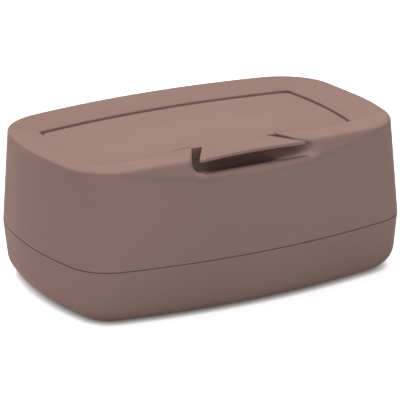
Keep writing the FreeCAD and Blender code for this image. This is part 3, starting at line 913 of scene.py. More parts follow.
@dataclass(frozen=True)
class SoftRubber(Finish):
    """Matt rubber or silicone with a dusty bloom."""

    roughness: float = 0.6

    def material(self) -> bpy.types.Material:
        """Builds the material."""
        made = MaterialBuilder(self.name)
        made.bump((made.noise(2400.0, 2.0), 0.3, 0.05), (made.noise(130.0, 2.0), 0.2, 0.08))
        return made.finish(
            Base_Color=self.spreads(made, made.noise(240.0, 4.0), (0.86, 1.12)),
            Roughness=made.spread(made.noise(420.0, 3.0), self.roughness - 0.06,
                                  self.roughness + 0.06),
            IOR=1.42,
        )


@dataclass(frozen=True)
class BrushedSteel(Finish):
    """Steel with fine lines along one axis."""

    lines: tuple[float, float, float]
    roughness: float = 0.34

    def material(self) -> bpy.types.Material:
        """Builds the material."""
        made = MaterialBuilder(self.name)
        streak = made.noise(900.0, 4.0, self.lines)
        made.bump((streak, 0.18, 0.03))
        return made.finish(
            Base_Color=self.spreads(made, made.noise(70.0, 3.0), (0.9, 1.05)),
            Roughness=made.spread(streak, self.roughness - 0.1, self.roughness + 0.12),
            Metallic=1.0,
        )


@dataclass(frozen=True)
class Finishes:
    """All materials of the object."""

    shell: bpy.types.Material
    inner: bpy.types.Material
    seal: bpy.types.Material
    rubber: bpy.types.Material
    pin: bpy.types.Material
    weight: bpy.types.Material

    @staticmethod
    def made() -> "Finishes":
        """Builds every material."""
        return Finishes(
            shell=MouldedPlastic("shell_plastic_satin", (166, 137, 129)).material(),
            inner=MouldedPlastic("inner_plastic_satin", (156, 130, 122), 0.46).material(),
            seal=SoftRubber("seal_silicone", (96, 84, 80), 0.5).material(),
            rubber=SoftRubber("foot_rubber", (44, 42, 42), 0.7).material(),
            pin=BrushedSteel("pin_steel", (150, 149, 147), (0.03, 1, 1), 0.45).material(),
            weight=BrushedSteel("weight_steel", (168, 167, 164), (0.05, 1, 1)).material(),
        )


# ---------------------------------------------------------------- finger scoop


@dataclass(frozen=True)
class Scoop:
    """Finger scoop in the front edge: upright sections that follow one another smoothly.

    Each has its reach before the middle line, its half width, the depth of its floor under
    the top edge and the radius of its lower corners.
    """

    reaches: tuple[float, ...] = (43.5, 58.0, 70.0, 81.0)
    halves: tuple[float, ...] = (29.5, 37.0, 44.5, 54.5)
    floors: tuple[float, ...] = (11.0, 12.0, 8.3, 15.0)
    radii: tuple[float, ...] = (2.9, 7.0, 9.0, 12.0)

    def _along(self, values: Sequence[float], reach: Array) -> Array:
        """Smooth course of a size through the four sections."""
        reach = np.maximum(np.asarray(reach, float), self.reaches[0])
        total = np.zeros_like(reach)
        for at, value in zip(self.reaches, values):
            term = np.full_like(reach, value)
            for other in self.reaches:
                if other != at:
                    term = term * (reach - other) / (at - other)
            total = total + term
        return total

    def section(self, reach: Array) -> tuple[Array, Array, Array]:
        """Half width, level of the floor and radius of the lower corners at a reach."""
        half, depth, radius = (
            self._along(values, reach) for values in (self.halves, self.floors, self.radii)
        )
        return half, TOP - depth, radius

    def distance(self, points: Array) -> Array:
        """Distance from the scoop's walls, less than nothing inside the hollow."""
        reach = -points[:, 1]
        half, floor, radius = self.section(reach)
        across = np.abs(points[:, 0]) - (half - radius)
        down = floor + radius - points[:, 2]
        outer = np.hypot(np.maximum(across, 0), np.maximum(down, 0))
        return outer + np.minimum(np.maximum(across, down), 0) - radius

    def slope(self, points: Array) -> Array:
        """Unit vectors away from the hollow."""
        vectors = np.stack([
            self.distance(points + shift) - self.distance(points - shift)
            for shift in 0.01 * np.eye(3)
        ], axis=1)
        return vectors / np.maximum(np.linalg.norm(vectors, axis=1), 1e-9)[:, None]

    def settle(self, points: Array) -> Array:
        """Moves points onto the scoop's walls."""
        for _ in range(6):
            points = points - self.distance(points)[:, None] * self.slope(points)
        return points

    def unrolled(self, points: Array) -> Array:
        """Reach and distance along the section of points on the walls."""
        reach = -points[:, 1]
        half, floor, radius = self.section(reach)
        x, z = np.abs(points[:, 0]), points[:, 2]
        flat = half - radius
        turn = np.arctan2(x - flat, floor + radius - z)
        on_turn = flat + radius * np.clip(turn, 0, math.pi / 2)
        on_wall = flat + radius * math.pi / 2 + (z - floor - radius)
        along = np.where(x < flat, x, np.where(z > floor + radius, on_wall, on_turn))
        return np.c_[reach, np.sign(points[:, 0]) * along]

    def rolled(self, plan: Array) -> Array:
        """Points on the walls from reach and distance along the section."""
        reach, along = plan[:, 0], np.abs(plan[:, 1])
        half, floor, radius = self.section(reach)
        flat = half - radius
        turn = np.clip((along - flat) / radius, 0, math.pi / 2)
        above = np.maximum(along - flat - radius * math.pi / 2, 0)
        x = np.minimum(along, flat) + radius * np.sin(turn)
        z = floor + radius * (1 - np.cos(turn)) + above
        return np.c_[np.sign(plan[:, 1]) * x, -reach, z]


# ---------------------------------------------------------------- upper housing


@dataclass(frozen=True)
class HousingSizes:
    """Rings and rounding of the upper housing.

    A window is the length over which an upright path is averaged, so that its corners
    become round: recess_window within recess_zone of the recess, edge_window before. The
    path starts lead_in before the seam and ends lead_out under the ledge. Along the scoop
    the rounded lip widens from lip_start at the gate to lip_width at the front, and its
    inner border lies towards lip_aim. Round the scoop, up to part_half and from part_row
    upwards, triangles take the place of the grid. The recess's edge swells up towards the
    front.
    """

    foot: Outline = SEAM_OUTLINE
    crown: Outline = Outline(114.9, 75.6, 75.6, 203.0, 435.0, 435.0, 37.4)
    rim: Outline = Outline(113.7, 74.4, 63.8, 203.0, 435.0, 3000.0, 37.4)
    recess: Outline = Outline(91.3, 52.1, 41.5, 260.8, 468.8, 468.8, 2.5)
    pan: Outline = Outline(88.1, 48.9, 38.3, 257.6, 465.6, 465.6, 5.0)
    opening: RoundedBox = OPENING
    recess_level: float = 91.3
    facet_edge: float = 65.0
    seam_chamfer: float = 0.6
    wall: float = 2.2
    edge_window: float = 5.2
    recess_window: float = 1.2
    recess_zone: float = 10.0
    lead_in: float = 6.0
    lead_out: float = 4.0
    gate_half: float = 29.5
    gate_gap: float = 0.4
    lip_width: float = 3.2
    lip_start: float = 0.5
    lip_reaches: tuple[float, float] = (45.0, 63.0)
    lip_aim: tuple[float, float, float] = (0.0, -58.0, 84.0)
    row_shares: tuple[float, ...] = (0.13, 0.42, 0.7, 1.0)
    least_facet: float = 2.8
    part_half: float = 62.0
    part_row: int = 5
    front_swell: float = 3.9
    swell_reaches: tuple[float, float] = (8.0, 43.0)
    swell_halves: tuple[float, float] = (26.0, 64.0)
    collar: RingSizes = RingSizes(0.9, PAN_FLOOR - 1.1, 85.7, 1.8, 0.5)

    def recess_edge(self, plan: Array) -> Array:
        """Level of the recess's edge over each point of the plan."""
        across = 1 - smooth_step(np.abs(plan[:, 0]), *self.swell_halves)
        swell = across * smooth_step(-plan[:, 1], *self.swell_reaches)
        return self.recess_level + self.front_swell * swell


@dataclass(frozen=True)
class Sheet:
    """Front of the shell, sampled by X and the distance before the recess."""

    x: Array
    before: Array
    points: Array

    def at(self, plan: Array) -> Array:
        """Points of the sheet.

        Args:
            plan: Pairs of X and distance before the recess.

        Returns:
            One point in space for each pair.
        """
        column, row = (
            np.clip(np.interp(values, known, np.arange(len(known))), 0, len(known) - 1.001)
            for values, known in zip(plan.T, (self.x, self.before))
        )
        i, j = column.astype(int), row.astype(int)
        u, v, table = (column - i)[:, None], (row - j)[:, None], self.points
        return (
            table[i, j] * (1 - u) * (1 - v) + table[i + 1, j] * u * (1 - v)
            + table[i, j + 1] * (1 - u) * v + table[i + 1, j + 1] * u * v
        )


@dataclass(frozen=True)
class Rim:
    """Line along which the scoop meets the shell, from the right end of the gate round.

    It has its places in the sheet, its points in space, how many of them at each end
    belong to the gate, and the place before the recess at which the gate ends.
    """

    line: Array
    points: Array
    gate: int
    foot: float


class UpperHousing:
    """Upper shell with its slanted front face, dished top, recess, pan and finger scoop."""

    def __init__(self, sizes: HousingSizes, scoop: Scoop, columns: Columns) -> None:
        """Samples the front, which the scoop is cut from.

        Args:
            sizes: Sizes of the shell.
            scoop: The finger scoop.
            columns: Columns that all rings share.
        """
        self.sizes = sizes
        self.scoop = scoop
        self.columns = columns
        self.skin = Skin()
        self.soft, self.sharp = self._sheets()

    def _paths(self, foot: Array, crown: Array, rim: Array, recess: Array) -> Pair:
        """Upright path of each column from the seam to the ledge.

        Args:
            foot: Plan points at the seam.
            crown: Plan points at the top edge.
            rim: Plan points of the dish's rim.
            recess: Plan points of the recess.

        Returns:
            The paths, and the distances of their corners along them.
        """
        rise, sizes = TOP - SEAM, self.sizes
        low, high = at_level(foot, SEAM), at_level(crown, TOP)
        share = (TOP + sizes.facet_edge - SEAM + foot[:, 1]) / (
            rise - (crown[:, 1] - foot[:, 1])
        )
        bend = low + (high - low) * np.clip(share, 0, 1)[:, None]
        land = at_level(rim, TOP)
        depth = rim[:, 1] - crown[:, 1]
        reach = (-sizes.facet_edge - crown[:, 1]) / np.where(np.abs(depth) < 1e-9, 1.0, depth)
        cut = np.where(crown[:, 1] < -sizes.facet_edge, np.clip(reach, 0, 1), 0.0)
        edge = high + (land - high) * cut[:, None]
        brink = np.c_[recess, sizes.recess_edge(recess)]
        ledge = at_level(recess, LEDGE)
        start = low + (high - low) * (sizes.seam_chamfer / rise)
        below = start - (high - low) * (sizes.lead_in / rise)
        beyond = ledge - np.array([0, 0, sizes.lead_out])
        paths = np.stack([below, start, bend, edge, land, brink, ledge, beyond], axis=1)
        return paths, np.array([marks_along(path) for path in paths])

    def _window(self, before_brink: Array) -> Array:
        """Length over which the path is averaged at a distance before the recess."""
        sizes = self.sizes
        return np.where(before_brink < sizes.recess_zone, sizes.recess_window, sizes.edge_window)

    def _rows(self, mark: Array) -> Array:
        """Distances along one column at which the shell has its rows.

        Args:
            mark: Distances of the path's corners along the column.

        Returns:
            The distances, close together where the path is bent.
        """
        _, start, bend, edge, land, brink, ledge, _ = mark
        middle, gap = (bend + edge) / 2, max(edge - bend, self.sizes.least_facet)
        bend, edge = middle - gap / 2, middle + gap / 2
        half = self.sizes.edge_window / 2
        squeeze = min(half, gap * 0.4) / half
        near = np.array(self.sizes.row_shares) * half
        face = np.linspace(bend + near[-1] * squeeze, edge - near[-1] * squeeze, 5)[1:-1]
        land = max(land, edge + 0.6)
        return np.concatenate([
            np.linspace(start, bend - 10.0, 5), [bend - 6.0], bend - near[::-1],
            bend + near * squeeze, face, edge - near[::-1] * squeeze, edge + near[:2],
            [edge + 1.5, land + 1.2], np.linspace(land + half, brink - 0.6, 9),
            brink + np.array([-0.3, 0.0, 0.3, 0.6]), [ledge],
        ])

    def _grid(self) -> Pair:
        """Points of all columns and rows, and their distances before the recess."""
        sizes, points, before = self.sizes, [], []
        rings = [ring.ring(self.columns) for ring in (sizes.foot, sizes.crown, sizes.rim)]
        recess = sizes.recess.ring(self.columns, trough=True)
        for path, mark in zip(*self._paths(*rings, recess)):
            places = self._rows(mark)
            before.append(mark[5] - places)
            row = rounded_path(path, places, self._window(before[-1]))
            row[0], row[-1] = path[1], path[6]
            points.append(row)
        return np.array(points), np.array(before)

    def _sheets(self) -> tuple[Sheet, Sheet]:
        """Samples the front with its top edge rounded, and with it sharp."""
        sizes, shares = self.sizes, [np.zeros(0)] * len(ARC_STEPS)
        shares[FRONT_ARC] = np.linspace(0, 1, 500)
        dense = Columns(tuple(shares), 0, 0)
        outlines = (sizes.foot, sizes.crown, sizes.rim, sizes.recess)
        paths, marks = self._paths(*[outline.ring(dense) for outline in outlines])
        # Finer near the recess and down its wall, where the distance is less than nothing.
        before = np.concatenate([np.arange(-8.6, 2.0, 0.1), np.arange(2.0, 70.0, 0.25)])
        x, sheets, window = np.linspace(-70, 70, 561), [], self._window(before)
        for lengths in (window, np.where(before < sizes.recess_zone, window, 0.02)):
            raw = np.array([
                rounded_path(path, mark[5] - before, lengths) for path, mark in zip(paths, marks)
            ])
            table = np.empty((len(x), len(before), 3))
            table[:, :, 0] = x[:, None]
            for row, axis in product(range(len(before)), (1, 2)):
                table[:, row, axis] = np.interp(x, raw[:, row, 0], raw[:, row, axis])
            sheets.append(Sheet(x, before, table))
        return sheets[0], sheets[1]

    def _rim(self) -> Rim:
        """Finds the line along which the scoop meets the shell."""
        gate, soft, reach = self.sizes.gate_half, self.soft, self.scoop.reaches[0]
        side = soft.points[np.argmin(np.abs(soft.x - gate))]
        behind, wall = soft.before > 0.5, soft.before < 0
        corner = float(np.interp(reach, -side[behind, 1], soft.before[behind]))
        foot = float(np.interp(LEDGE, side[wall, 2], soft.before[wall]))
        # Rays from the middle of the hollow find its border by halving their length.
        centre = np.array([0.0, 18.0])
        angles = np.linspace(math.atan2(corner - centre[1], gate), math.pi / 2, 900)[1:]
        aim = np.c_[np.cos(angles), np.sin(angles)]
        low, high = np.zeros(len(angles)), np.full(len(angles), 60.0)
        for _ in range(40):
            middle = (low + high) / 2
            out = self.scoop.distance(self.sharp.at(centre + aim * middle[:, None])) > 0
            low, high = np.where(out, low, middle), np.where(out, middle, high)
        bow = np.concatenate([[(gate, corner)], centre + aim * low[:, None]])
        length = marks_along(self.sharp.at(bow))
        wanted = np.linspace(0, length[-1], int(length[-1] / RIM_SPACING))
        bow = np.c_[np.interp(wanted, length, bow[:, 0]), np.interp(wanted, length, bow[:, 1])]
        # Up the side of the gate, from the ledge to the recess's edge and on to the corner.
        rise = np.concatenate([
            foot * np.array([1.0, 0.8, 0.6, 0.4, 0.2]), [-0.6, -0.3, 0.0, 0.3, 0.6, 1.2],
        ])
        rise = rise[rise < corner - 0.3]
        line = np.concatenate([np.c_[np.full(len(rise), gate), rise], bow])
        line = np.concatenate([line, line[::-1][1:] * (-1, 1)])
        return Rim(line, self.sharp.at(line), len(rise), foot)

    def _band(self, rim: Rim) -> tuple[Array, list[Array]]:
        """Rounded edge along the scoop's rim.

        Args:
            rim: The rim.

        Returns:
            The outer border's places in the sheet, and the rows of points from the outer
            border to the inner one.
        """
        sizes, line, points, gate = self.sizes, rim.line, rim.points, rim.gate
        count, reach = len(line), -points[:, 1]
        # Across the line. At the gate's corners it takes the direction of the bow.
        run = np.gradient(line, axis=0)
        run[gate] = run[gate + 1]
        run[count - 1 - gate] = run[count - 2 - gate]
        normal = np.c_[run[:, 1], -run[:, 0]]
        normal /= np.linalg.norm(normal, axis=1)[:, None]
        for side in (slice(0, gate), slice(count - gate, count)):
            normal[side] = np.c_[np.sign(line[side, 0]), np.zeros(gate)]
        width = sizes.lip_start * smooth_step(line[:, 1], rim.foot, rim.foot + 3.5)
        width += (sizes.lip_width - sizes.lip_start) * smooth_step(reach, *sizes.lip_reaches)
        outer = line + normal * width[:, None]
        border = self.soft.at(outer)
        border[[0, -1]] = points[[0, -1]]
        inward = np.cross(np.gradient(points, axis=0), self.scoop.slope(points))
        inward /= np.maximum(np.linalg.norm(inward, axis=1), 1e-9)[:, None]
        aim = np.array(sizes.lip_aim) - points
        inward *= np.where(np.einsum("ij,ij->i", inward, aim) < 0, -1, 1)[:, None]
        at_gate = reach < self.scoop.reaches[0] + 0.02
        inward[at_gate] = (0, 0, -1)
        inner = points + inward * width[:, None]
        inner[~at_gate] = self.scoop.settle(inner[~at_gate])
        return outer, [bent(border, points, inner, share) for share in np.linspace(0, 1, 8)]

    def _front(
        self, grid: Array, before: Array, outer: Array, border: Array
    ) -> tuple[int, int, int]:
        """Builds the part of the front round the scoop.

        Args:
            grid: Points of the shell by column and row.
            before: Their distances before the recess.
            outer: Places in the sheet of the lip's outer border.
            border: Its points in space.

        Returns:
            The first and last column and the first row of the part.
        """
        sizes, last = self.sizes, grid.shape[1] - 1
        picked = [
            i for i in range(*self.columns.front) if abs(grid[i, CROWN_ROW, 0]) < sizes.part_half
        ]
        i0, i1, row0 = picked[0], picked[-1], sizes.part_row

        def plan(cells: list[tuple[int, int]]) -> Array:
            """Places of grid points in the sheet."""
            return np.array([(grid[cell][0], before[cell]) for cell in cells])

        free = sizes.gate_half + sizes.gate_gap
        ledge = [(i, last) for i in range(i1 - 1, i0, -1)]
        loop = [(i, row0) for i in range(i0, i1 + 1)]
        loop += [(i1, r) for r in range(row0 + 1, last + 1)]
        loop += [cell for cell in ledge if grid[cell][0] > free]
        tail = [cell for cell in ledge if grid[cell][0] < -free]
        tail += [(i0, r) for r in range(last, row0, -1)]
        corners = np.concatenate([plan(loop), outer, plan(tail)])
        places = [grid[cell] for cell in loop] + list(border) + [grid[cell] for cell in tail]
        inner = list(product(range(i0 + 1, i1), range(row0 + 1, last)))
        flat = plan(inner)
        good = inside(flat, corners) & (clearance(flat, outer) > 0.35)
        kept = [grid[cell] for cell, keep in zip(inner, good) if keep]
        self.skin.patch(corners, places, extra=(flat[good], np.array(kept)))
        return i0, i1, row0

    def _hollow(self, border: Array, gate: int) -> None:
        """Fills the scoop, its back wall and the sides of the gate.

        Args:
            border: Inner border of the rounded edge.
            gate: How many of its points at each end belong to the gate.
        """
        reach, half = self.scoop.reaches[0], self.sizes.gate_half
        foot = np.array([(-half, -reach, LEDGE), (half, -reach, LEDGE)])
        # The back wall's foot: up one side, round the two lower corners and up the other.
        body = border[gate:len(border) - gate]
        flat = self.scoop.unrolled(body)
        flat[[0, -1], 0] = reach
        top = float(self.scoop.unrolled(foot)[1, 1])
        turn = top - self.scoop.radii[0] * math.pi / 2
        end = np.linspace(turn, top, 8)[1:]
        sweep = np.concatenate([-end[::-1], np.linspace(-turn, turn, 41), end])
        back = np.c_[np.full(len(sweep), reach), sweep]
        back_points = self.scoop.rolled(back)
        back_points[[0, -1]] = foot
        corners = np.concatenate([flat, back])
        spread = np.array(list(product(
            np.arange(reach + 1.6, self.scoop.reaches[3] - 3.0, 2.0), np.arange(-62, 62.1, 2.0)
        )))
        spread = spread[inside(spread, corners) & (clearance(spread, corners) > 1.3)]
        self.skin.patch(corners, np.concatenate([body, back_points]),
                        extra=(spread, self.scoop.rolled(spread)))
        self.skin.patch(back_points[:, [0, 2]], back_points)
        for corner, part in zip(foot[::-1], (border[:gate + 1], border[len(border) - gate - 1:])):
            wall = np.concatenate([part, [corner]])
            self.skin.patch(wall[:, [1, 2]], wall)

    def _inside(self, ledge: Array, ends: Array) -> None:
        """Builds the ledge, the pan, the opening and the hinge trough.

        Args:
            ledge: Points at the foot of the recess's wall.
            ends: Right and left end of the scoop's rim.
        """
        sizes, columns = self.sizes, self.columns
        right, left, count = columns.trough_right, columns.trough_left, columns.count
        front = [i % count for i in range(left, right + count + 1)]
        back = list(range(right, left + 1))
        # Growth of the pan's outline and level, from the ledge down to its floor.
        steps = ((0.45, LEDGE), (0.13, LEDGE - 0.13), (0.0, LEDGE - 0.45),
                 (0.0, PAN_FLOOR + 0.6), (-0.17, PAN_FLOOR + 0.17), (-0.6, PAN_FLOOR))
        rings = [
            at_level(sizes.pan.grown(grow).ring(columns, trough=True), level)
            for grow, level in steps
        ]
        self.skin.stack([ring[front] for ring in rings], closed=False)
        half, reach = sizes.gate_half, self.scoop.reaches[0]
        outer = [ledge[i] for i in front if not (
            abs(ledge[i][0]) < half + sizes.gate_gap and ledge[i][1] < 0)]
        at = next(k for k, p in enumerate(outer) if p[0] > 0 and p[1] < 0)
        bump = np.array([ends[1], (-half, -reach, LEDGE), (half, -reach, LEDGE), ends[0]])
        outer = np.concatenate([outer[:at], bump, outer[at:]])
        loop = np.concatenate([outer, rings[0][front][::-1]])
        self.skin.patch(loop[:, :2], loop)
        floor, hole = rings[-1][front], sizes.opening.ring()
        self.skin.patch(floor[:, :2], floor, hole=(hole, at_level(hole, PAN_FLOOR)))
        deep = ledge[back].copy()
        deep[:, 2] = TROUGH_FLOOR
        self.skin.strip(ledge[back], deep, closed=False)
        self.skin.patch(deep[:, :2], deep)
        profile = np.array([ring[right] for ring in rings])
        step = np.concatenate([
            [ledge[right]], profile, profile[::-1] * (-1, 1, 1), [ledge[left]],
            [deep[-1], deep[0]],
        ])
        self.skin.patch(step[:, [0, 2]], step)

    def build(self) -> Thing:
        """Builds the shell."""
        (grid, before), rim = self._grid(), self._rim()
        outer, lip = self._band(rim)
        self.skin.stack(lip, closed=False)
        i0, i1, row0 = self._front(grid, before, outer, lip[0])
        self._hollow(lip[-1], rim.gate)
        count, rows = grid.shape[:2]
        for r, i in product(range(rows - 1), range(count)):
            if not (i0 <= i < i1 and r >= row0):
                j = (i + 1) % count
                self.skin.face(self.skin.add(
                    np.array([grid[i, r], grid[j, r], grid[j, r + 1], grid[i, r + 1]])
                ))
        insets = (self.sizes.seam_chamfer, self.sizes.wall)
        self.skin.stack([grid[:, 0], *[
            at_level(self.sizes.foot.grown(-inset).ring(self.columns), SEAM) for inset in insets
        ]])
        self._inside(grid[:, -1], rim.points[[0, -1]])
        return self.skin.make("shell_upper", wall=self.sizes.wall)

    def dress(self, finishes: Finishes, rings: SweptRing) -> None:
        """Builds the shell with its collar and gives both their finish."""
        sizes, shell = self.sizes, finishes.shell
        place(self.build(), shell, Body.HOUSING, ["upper_housing"])
        collar = rings.make("opening_collar", sizes.opening, sizes.collar, shell)
        place(collar, shell, Body.HOUSING)


# ---------------------------------------------------------------- base tray


@dataclass(frozen=True)
class TraySizes:
    """Section of the lower shell, and its feet.

    The wall tapers inwards down to the rounded edge. The spigot stands on the rim, between
    its two insets from the outside, and starts spigot_depth under the seam on the inside.
    """

    foot: Outline = SEAM_OUTLINE
    taper: float = math.radians(5.6)
    edge_radius: float = 14.5
    underside: float = 0.8
    wall: float = 2.2
    chamfer: float = 0.6
    seam_gap: float = 0.25
    spigot_inset: float = 2.95
    spigot_inner: float = 4.55
    spigot_top: float = 41.5
    spigot_depth: float = 5.0
    foot_radius: float = 8.0
    foot_top: float = 1.9
    foot_spots: tuple[tuple[float, float], ...] = (
        (88.0, 42.0), (-88.0, 42.0), (-88.0, -42.0), (88.0, -42.0),
    )


class BaseTray:
    """Lower shell with the spigot on its rim, and its four feet."""

    def __init__(self, sizes: TraySizes, columns: Columns) -> None:
        """Keeps the sizes and the columns."""
        self.sizes = sizes
        self.columns = columns

    def _bowl(self, skin: float, radius: float) -> list[tuple[float, float]]:
        """Inset and level down one face of the bowl.

        Args:
            skin: Distance of the face inwards from the outside.
            radius: Radius of its lower edge.

        Returns:
            Pairs from the upper end of the rounding to the floor.
        """
        taper = self.sizes.taper
        level = self.sizes.underside + skin + radius
        inset = (SEAM - level) * math.tan(taper) + (skin + radius) / math.cos(taper)
        angles = np.linspace(math.pi + taper, 1.5 * math.pi, 15)
        return [(inset + radius * math.cos(a), level + radius * math.sin(a)) for a in angles]

    def build(self) -> Thing:
        """Builds the tray."""
        sizes, slope = self.sizes, math.tan(self.sizes.taper)
        chamfer, outer, inner = sizes.chamfer, sizes.spigot_inset, sizes.spigot_inner
        land, top, step = SEAM - sizes.seam_gap, sizes.spigot_top, SEAM - sizes.spigot_depth
        section = self._bowl(0.0, sizes.edge_radius)[::-1] + [
            (10.0 * slope, SEAM - 10.0), (1.5 * slope, SEAM - 1.5),
            ((chamfer + 0.25) * slope, SEAM - chamfer - 0.25),
            (chamfer * slope + 0.04, SEAM - chamfer), (0.2, land - 0.1), (chamfer, land - 0.02),
            (chamfer + 0.3, land), (outer - 0.1, land), (outer, SEAM + 0.1), (outer, top - 0.4),
            (outer + 0.12, top - 0.12), (outer + 0.4, top), (inner - 0.4, top),
            (inner - 0.12, top - 0.12), (inner, top - 0.4), (inner, step + 0.3),
            (inner - 0.3, step),
            (sizes.wall / math.cos(sizes.taper) + sizes.spigot_depth * slope, step),
        ] + self._bowl(sizes.wall, sizes.edge_radius - sizes.wall)
        skin = Skin()
        skin.stack([
            at_level(sizes.foot.grown(-inset).ring(self.columns), level)
            for inset, level in section
        ], capped=True)
        return skin.make("shell_lower")

    def _foot(self) -> Thing:
        """One turned foot round the origin, with a rounded edge and a shallow hollow."""
        radius, top = self.sizes.foot_radius, self.sizes.foot_top
        section = [(1.5, 0.35), (4.6, 0.35), (5.2, 0.3), (5.5, 0.05), (5.8, 0.0),
                   (radius - 0.7, 0.0), (radius - 0.35, 0.09), (radius - 0.09, 0.35),
                   (radius, 0.7), (radius, top), (1.5, top)]
        skin, turns = Skin(), np.linspace(0, 2 * math.pi, 41)[:-1]
        circle = np.c_[np.cos(turns), np.sin(turns)]
        skin.stack([at_level(r * circle, z) for r, z in section], capped=True)
        return skin.make("foot_master")

    def dress(self, finishes: Finishes, copies: Copies) -> None:
        """Builds the tray and its feet and gives them their finish."""
        place(self.build(), finishes.shell, Body.BASE, ["base_tray"])
        feet = copies.make("feet", self.sizes.foot_spots, self._foot(), finishes.rubber)
        nodes = [f"foot_{end}_{side}" for end in ("front", "rear") for side in ("left", "right")]
        place(feet, finishes.rubber, Body.BASE, nodes)


# ---------------------------------------------------------------- lid


@dataclass(frozen=True)
class LidSizes:
    """Sizes of the lid and of what it carries.

    The plate has a shoulder in the housing's gate. The tab runs from neck to front and is
    arched across. Beside it the plate's swell fades out, from fade_start outside the tab to
    fade_end outside it, and not before fade_least. Ribs and bosses reach up into the plate.
    Setbacks are cut from the sides at the corners: by the plate, shoulder, tab's root and
    tip.
    """

    plate: Outline = Outline(90.5, 51.3, 40.7, 260.0, 468.0, 468.0, 7.0)
    edge: float = 0.55
    shoulder_half: float = 29.2
    neck_reach: float = 43.3
    neck_half: float = 22.4
    swell: float = 5.2
    setbacks: tuple[float, ...] = (0.6, 1.2, 0.9, 2.3)
    swell_reaches: tuple[float, float] = (-30.0, 43.0)
    fade_start: float = 3.8
    fade_end: float = 27.0
    fade_least: float = 64.0
    front_reach: float = 66.5
    front_half: float = 36.8
    neck_arch: float = 0.2
    front_arch: float = 1.2
    arch_reaches: tuple[float, float] = (20.0, 42.0)
    tab_thickness: float = 2.4
    tip_thickness: float = 1.9
    tab_reaches: tuple[float, float] = (43.6, 48.5)
    under_edge: float = 0.45
    opening: RoundedBox = OPENING
    boss: RoundedBox = RoundedBox(8.0, 38.5, 43.5, 0.8)
    boss_x: float = 76.6
    boss_low: float = 85.8
    boss_top: float = LID_UNDER + 0.3
    plug_rib: RingSizes = RingSizes(-2.2, 84.5, LID_UNDER + 0.3, 1.4)
    outer_rib: RingSizes = RingSizes(3.8, 86.4, LID_UNDER + 0.3, 1.4)
    seal: RingSizes = RingSizes(0.9, 86.0, LID_UNDER, 4.0, 0.7)


